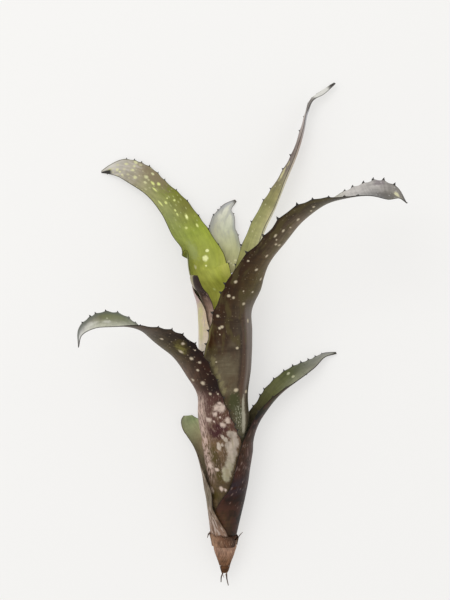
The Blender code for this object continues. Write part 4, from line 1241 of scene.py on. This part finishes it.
class BILLBERGIA_OT_leaf_upper_left(LeafOperator, Operator):
    """Build the bright green innermost leaf, to the upper left."""

    bl_idname = "billbergia.leaf_upper_left"
    bl_label = "Upper left leaf"
    node = "leaf_upper_left"
    yellow_spots = (
        (5.1, 179, 0.8, 1.5), (8.7, 170.9, 0.6, 1.4), (1.8, 172.7, 0.8, 0.8),
        (2.7, 130.2, 0.8, 0.8), (0.6, 182.6, 0.5, 0.9), (0.8, 185.4, 0.5, 0.8),
        (1.6, 207.1, 0.7, 1.4), (3.8, 204.3, 0.8, 1), (-0.5, 203.4, 0.5, 1.8),
        (-4.7, 194.4, 0.7, 2.2), (-1.2, 192.6, 0.7, 1), (4.1, 190.8, 0.6, 0.6),
        (1.5, 194.4, 0.5, 0.5))
    bright_spots = (
        (5, 151.9, 1.7, 1.4), (7.2, 155.5, 1, 0.8), (5.5, 148.3, 0.6, 0.6), (5.1, 179, 0.5, 1))
    cream_spots = (
        (-2.3, 217.9, 1.1, 1.3), (-1.4, 210.7, 0.7, 1), (6, 210.7, 0.6, 0.9),
        (1.9, 212.5, 0.9, 1.2), (0.3, 235.1, 1, 1.2), (-0.2, 230.6, 1, 0.9),
        (-1.6, 228.8, 0.7, 0.7), (-3.8, 226.9, 0.8, 0.8), (1.4, 221.5, 0.8, 1),
        (6.8, 221.5, 0.9, 0.9), (4, 226, 0.7, 0.8), (4.2, 221.5, 0.8, 0.7), (-2.1, 145.6, 1, 0.9))

    def outer(self, skin):
        skin.ground((60, 0x8A7A68), (116, 0xB3A294), (136, 0xAEA38E), (142, 0x9A9468),
            (146, 0x747B2D), (240, 0x8A8474))
        skin.lay(0xB0A29C, skin.noise(1.2, 9, 3, 3).eased(0.5, 0.66) * skin.v.eased(142, 136) * 0.5)
        rolled = skin.u.eased(-17.5, -20) * skin.v.eased(143, 141)
        dark = skin.run((113, 0xC2AA96), (122, 0x93786A), (128, 0x33231E), (skin.length, 0x1E1512))
        scurf = skin.noise(1.1, 2.6, 3, 3).eased(0.52, 0.66) * skin.between(108, 131, 5)
        dark = skin.mix(dark, 0x947A6C, scurf * 0.8)
        skin.lay(dark, rolled)
        skin.grained(0.25, 0.35, 0.2)
        skin.edge(0x241A14, 0.5, 0.7)
        return skin.veined(0.45, 24, 0.06, WAXY)

    def inner(self, skin):
        skin.ground(
            (120, 0xBFBE62, 0xC7C75B), (138, None, 0xB3B84E), (150, 0x9FA248, None),
            (152, None, 0xA8AF4C), (168, 0x99A353, 0x95A237), (184, 0x989E62, 0x7A7835),
            (200, 0x9E9E68, 0x757E1F), (216, 0x9D957D, 0x948970), (234, 0xAFA99F, 0xCBC7BD),
            middle=0.1, blur=0.7)
        skin.grained(0.14, 0.3, 0.05)
        skin.mark(0xC9C66F, 0.6, ((19, 139, 5, 13),), 0.5, 0.7)
        # Painted sheen: a paler grey-green patch on the upper face, where light glances off it.
        skin.mark(0xA6B07E, 0.45, ((-2, 157, 3, 6),), 0.8, 0.8)
        skin.mark(0x85755E, 0.8, ((6, 207, 4.4, 9),), 0.8, 0.7)
        skin.lay(0xC4BCB2, skin.noise(2, 7, 3, 15).eased(0.5, 0.64) * skin.v.eased(214, 222) * 0.6)
        skin.mark(0x76803A, 0.5, ((-9, 150, 3.5, 14),), 0.6, 0.7)
        tip = skin.v.eased(196, 212)
        skin.lay(0xCFCBA0, skin.flecks(2.8, 0.75, 0.6, stretch=1.4) * tip * 0.55)
        skin.lay(
            0xC4C98C,
            skin.flecks(2.4, 0.5, 0.4, shift=9, stretch=2) * skin.between(170, 200, 8) * 0.4)
        skin.mark(0xD6D4A4, 0.9, self.cream_spots, 0.6, 0.6, 0.3)
        skin.lay(0xDCE28E, skin.spots(self.yellow_spots, 0.5, 0.6, 0.2))
        skin.lay(0xF6F9B6, skin.spots(self.bright_spots, 0.35, 0.4))
        skin.edge(0x4C4A2A, 0.55, 0.85)
        point = skin.v.eased(233, 235.5) * skin.across.eased(0.4, -0.1)
        skin.lay(0x2F2D28, point)
        return skin.veined(0.48, 22, 0.06, WAXY)


def wobble(turns, heights):
    """How far the stem's stub bulges or draws in, as a share of its radius."""
    scars = SCAR_DEPTH * np.sin(heights * SCAR_PITCH + SCAR_WAVE * np.sin(turns))
    lumps = sum(depth * np.sin(count * turns + heights * twist)
                for depth, count, twist in STEM_LUMPS)
    return (scars + lumps) * (heights < STEM_STUB[-1][0])


def turned(profile):
    """A round solid on the tube's axis: rings of points, their surface and place coordinates."""
    heights = row_heights(profile, STEM_ROW_STEP)
    radii = np.interp(heights, *zip(*profile))
    turns = np.linspace(0, math.tau, STEM_SIDES, endpoint=False)
    radii = radii[:, None] * (1 + wobble(turns[None, :], heights[:, None]))
    out = round_tube(turns)
    rings = axis_points(heights)[:, None] + out[None] * radii[..., None]
    surface = np.stack([turns[None, :] * radii, heights[:, None] + 0 * radii], axis=-1)
    share = (heights - heights[0]) / (heights[-1] - heights[0])
    place = np.stack([turns[None, :] + 0 * radii, share[:, None] + 0 * radii, radii], axis=-1)
    return rings, surface, place


class BILLBERGIA_OT_stem(Operator):
    """Build the short stem, with the rings that older leaves left on its stub."""

    bl_idname = "billbergia.stem"
    bl_label = "Stem"
    bl_options = {"REGISTER", "UNDO"}

    def execute(self, context):
        profile = list(STEM_STUB)
        for leaf in LEAVES.values():
            wall = sheath_radius(leaf.layer, np.array([float(leaf.base)]))[0]
            profile.append((leaf.base, wall - SHEATH_THICKNESS / 2 - SEAT_GAP))
        profile.append((STEM_TOP, STEM_TOP_RADIUS))

        body = Body()
        body.add_tube(*turned(profile))
        body.make("stem", [self.skin()])
        return {"FINISHED"}

    def skin(self):
        """Woody brown, with darker rings and a pale cut end."""
        skin = Skin("stem")
        skin.shade = skin.shades(
            skin.v.eased(0, 18), (0.0, 0x5A3A20), (0.5, 0x6E4A32), (1.0, 0x4F3220))
        skin.grained(0.6, 0.6, 0.7)
        skin.lay(0x2C1B10, skin.noise(9, 0.8, 3, 3).eased(0.52, 0.66) * 0.8)
        skin.lay(0xA98A66, skin.v.eased(0.35, 0.1) * 0.7)
        height = skin.noise(9, 0.8, 3, 3) + skin.noise(1, 2, 3, 5)
        return skin.finish(0.8, height, 0.4, **DRY)


class BILLBERGIA_OT_bracts(Operator):
    """Build the two dry scales round the foot of the tube."""

    bl_idname = "billbergia.bracts"
    bl_label = "Dry scales"
    bl_options = {"REGISTER", "UNDO"}

    def execute(self, context):
        for name, (radii, wraps) in BRACTS.items():
            low, high = wraps[0][0], wraps[-1][0]
            heights = np.linspace(low, high, round((high - low) / BRACT_ROW_STEP))
            rows = wrapped_rows(heights, read_table(radii, heights), *edges_of(wraps))
            strip = Strip(rows, np.tile(ALONG, (len(rows), 1)), heights)
            thickness = np.full(len(rows), BRACT_THICKNESS)
            under, over, surface, place = strip_grid(strip, thickness, lift=crumpled)
            torn = torn_edge(place[..., 0], place[..., 1])[..., None] * ALONG
            body = Body()
            body.add_strip(under + torn, over + torn, surface, place)
            for points, thicknesses in FIBRES[name]:
                body.add_tube(*tube(points, thicknesses), slot=1)
            body.make(name, [self.skin(name), self.fibre_skin()])
        return {"FINISHED"}

    def skin(self, name):
        """Brown, papery and streaked with fibres."""
        skin = Skin("dry_" + name)
        if name == "bract_upper":
            skin.shade = skin.shades(
                skin.across * 0.5 + 0.5,
                (0.0, 0x3B2A1E), (0.16, 0x6B4A36), (0.34, 0x9C7A60), (0.6, 0x8C6A50))
        else:
            skin.shade = skin.shades(
                skin.along, (0.0, 0x4A2C16), (0.4, 0x77553C), (0.75, 0x9F7C67), (1.0, 0xA5876F))
        skin.grained(0.5, 0.6, 0.3)
        skin.lay(0x3A2416, skin.noise(0.45, 7, 3, 4).eased(0.55, 0.7) * 0.7)
        skin.lay(0xB99A80, skin.noise(0.5, 5, 3, 8).eased(0.6, 0.74) * 0.6)
        skin.lay(0x5A4130, skin.along.eased(0.9, 1.0) * 0.3)
        height = skin.noise(0.5, 8, 3, 2) + skin.noise(3, 2, 3, 6) * 0.8
        return skin.finish(0.75, height, 0.35, **DRY)

    def fibre_skin(self):
        skin = Skin("fibre")
        skin.mottled(1.0, 0x3E2C20, 0x745A44)
        return skin.finish(0.8, **DRY)


def crumpled(shares, strip):
    """How far a dry scale's surface stands off its smooth shape, in creases along it."""
    creases = sum(height * np.sin(count * shares + slant * strip.places[:, None] + start)
                  for height, count, slant, start in CREASES)
    return BRACT_CREASE * creases * (1 - np.abs(shares) ** CREASE_POWER)


def torn_edge(shares, along):
    """How far a dry scale's two edges are torn back or stand out, at shares across and along it."""
    teeth = sum(height * np.sin(count * shares + start) for height, count, start in TEETH)
    lower = teeth - BRACT_SLANT * shares
    return BRACT_TEAR * (teeth * along**TEAR_POWER + lower * (1 - along) ** TEAR_POWER)


class BILLBERGIA_OT_roots(Operator):
    """Build the thin roots on the cut end."""

    bl_idname = "billbergia.roots"
    bl_label = "Roots"
    bl_options = {"REGISTER", "UNDO"}

    def execute(self, context):
        skin = Skin("root")
        skin.mottled(2.0, 0x3A281B, 0x6B4E38)
        skin.grained(0.5, 0.4, 0.3)
        material = skin.finish(0.85, skin.noise(0.4, 0.8, 3), 0.1, **DRY)
        for name, (points, radii) in ROOTS.items():
            body = Body()
            body.add_tube(*tube(points, radii))
            body.make(name, [material])
        return {"FINISHED"}


def tube(points, radii):
    """A thin tube through some points, as turned gives a round solid."""
    points = np.array(points)
    lengths = np.linalg.norm(np.diff(points, axis=0), axis=1)
    places = np.concatenate([[0.0], np.cumsum(lengths)])
    wanted = np.linspace(0, places[-1], max(FEWEST_TUBE_ROWS, round(places[-1] / TUBE_ROW_STEP)))
    slopes = np.diff(points, axis=0) / lengths[:, None]
    tangents = np.vstack([slopes[:1], (slopes[:-1] + slopes[1:]) / 2, slopes[-1:]])
    middle, courses = smooth_curve(points, tangents, places, wanted)
    radii = np.interp(wanted, places, radii)
    side = unit(np.cross(courses, (0, 0, 1)))
    over = unit(np.cross(side, courses))
    turns = np.linspace(0, math.tau, TUBE_SIDES, endpoint=False)
    cosine, sine = np.cos(turns)[None, :, None], np.sin(turns)[None, :, None]
    ring = cosine * side[:, None] + sine * over[:, None]
    rings = middle[:, None] + ring * radii[:, None, None]
    round_it = turns[None, :] * radii[:, None]
    surface = np.stack([round_it, wanted[:, None] + 0 * round_it], axis=-1)
    share = wanted[:, None] / wanted[-1] + 0 * round_it
    place = np.stack([turns[None, :] + 0 * share, share, 0 * share], axis=-1)
    return rings, surface, place


class BILLBERGIA_OT_stage(Operator):
    """Build the pale surface that the plant lies on, the soft light and the camera above it."""

    bl_idname = "billbergia.stage"
    bl_label = "Stage"
    bl_options = {"REGISTER", "UNDO"}

    def execute(self, context):
        settings = settings_of(context).stage
        self.make_floor(settings)
        self.make_light(context.scene, settings)
        self.make_camera(context.scene, settings)
        context.scene.view_settings.view_transform = "Standard"
        return {"FINISHED"}

    def make_floor(self, settings):
        mesh = bpy.data.meshes.new("floor")
        square = ((-1, -1), (1, -1), (1, 1), (-1, 1))
        corners = [(x * HALF_FLOOR, y * HALF_FLOOR, 0) for x, y in square]
        mesh.from_pydata(corners, [], [(0, 1, 2, 3)])
        mesh.materials.append(self.floor_skin(settings))
        floor = bpy.data.objects.new("floor", mesh)
        bpy.context.scene.collection.objects.link(floor)

    def floor_skin(self, settings):
        """A matt surface, which the camera sees with a softer shadow, blended with an even tone."""
        skin = Skin("floor")
        tone = (*settings.floor_colour, 1)
        matt = skin.add("ShaderNodeBsdfDiffuse", {}, {"Color": tone})
        even = skin.add("ShaderNodeEmission", {}, {"Color": tone, "Strength": 1.0})
        seen = skin.add("ShaderNodeLightPath", output="Is Camera Ray")
        blend = skin.add(
            "ShaderNodeMixShader", {}, {0: seen * settings.shadow_fade, 1: matt, 2: even})
        skin.add("ShaderNodeOutputMaterial", {}, {"Surface": blend}, None)
        return skin.material

    def make_light(self, scene, settings):
        world = bpy.data.worlds.new("sky")
        world.use_nodes = True
        sky = world.node_tree.nodes["Background"]
        sky.inputs["Color"].default_value = WHITE
        sky.inputs["Strength"].default_value = settings.sky_strength
        scene.world = world
        lamp = bpy.data.lights.new("soft_lamp", "AREA")
        lamp.shape = "DISK"
        lamp.size = LAMP_SIZE
        lamp.energy = settings.lamp_power
        obj = bpy.data.objects.new("soft_lamp", lamp)
        obj.location = LAMP_PLACE
        aim = Vector(LAMP_AIM) - Vector(LAMP_PLACE)
        obj.rotation_euler = aim.to_track_quat("-Z", "Y").to_euler()
        scene.collection.objects.link(obj)

    def make_camera(self, scene, settings):
        camera = bpy.data.cameras.new("camera")
        camera.lens = settings.camera_lens
        obj = bpy.data.objects.new("camera", camera)
        place = plant_matrix() @ Matrix.Translation(CAMERA_OVER_PLANT)
        obj.location = place.translation
        obj.rotation_euler = place.to_euler()
        scene.collection.objects.link(obj)
        scene.camera = obj


class BILLBERGIA_PT_panel(Panel):
    """The plant's settings, and a button for each of its pieces."""

    bl_idname = "BILLBERGIA_PT_panel"
    bl_label = "Billbergia offset"
    bl_space_type = "VIEW_3D"
    bl_region_type = "UI"
    bl_category = "Billbergia"

    def draw(self, context):
        settings = settings_of(context)
        for group in (settings.leaves, settings.stage):
            box = self.layout.box()
            for name in group.__annotations__:
                box.prop(group, name)
        for operator in PIECES:
            self.layout.operator(operator.bl_idname)


PIECES = (
    BILLBERGIA_OT_stage,
    BILLBERGIA_OT_stem,
    BILLBERGIA_OT_bracts,
    BILLBERGIA_OT_roots,
    BILLBERGIA_OT_leaf_short_left,
    BILLBERGIA_OT_leaf_lower_right,
    BILLBERGIA_OT_leaf_lower_left,
    BILLBERGIA_OT_leaf_front_right,
    BILLBERGIA_OT_leaf_back,
    BILLBERGIA_OT_leaf_upper_right,
    BILLBERGIA_OT_leaf_upper_left,
)
CLASSES = (LeafSettings, StageSettings, PlantSettings, *PIECES, BILLBERGIA_PT_panel)


def register():
    for kind in CLASSES:
        bpy.utils.register_class(kind)
    bpy.types.Scene.billbergia = PointerProperty(type=PlantSettings)


def unregister():
    del bpy.types.Scene.billbergia
    for kind in reversed(CLASSES):
        bpy.utils.unregister_class(kind)


def main():
    register()
    for operator in PIECES:
        group, name = operator.bl_idname.split(".")
        getattr(getattr(bpy.ops, group), name)()


if __name__ == "__main__":
    main()
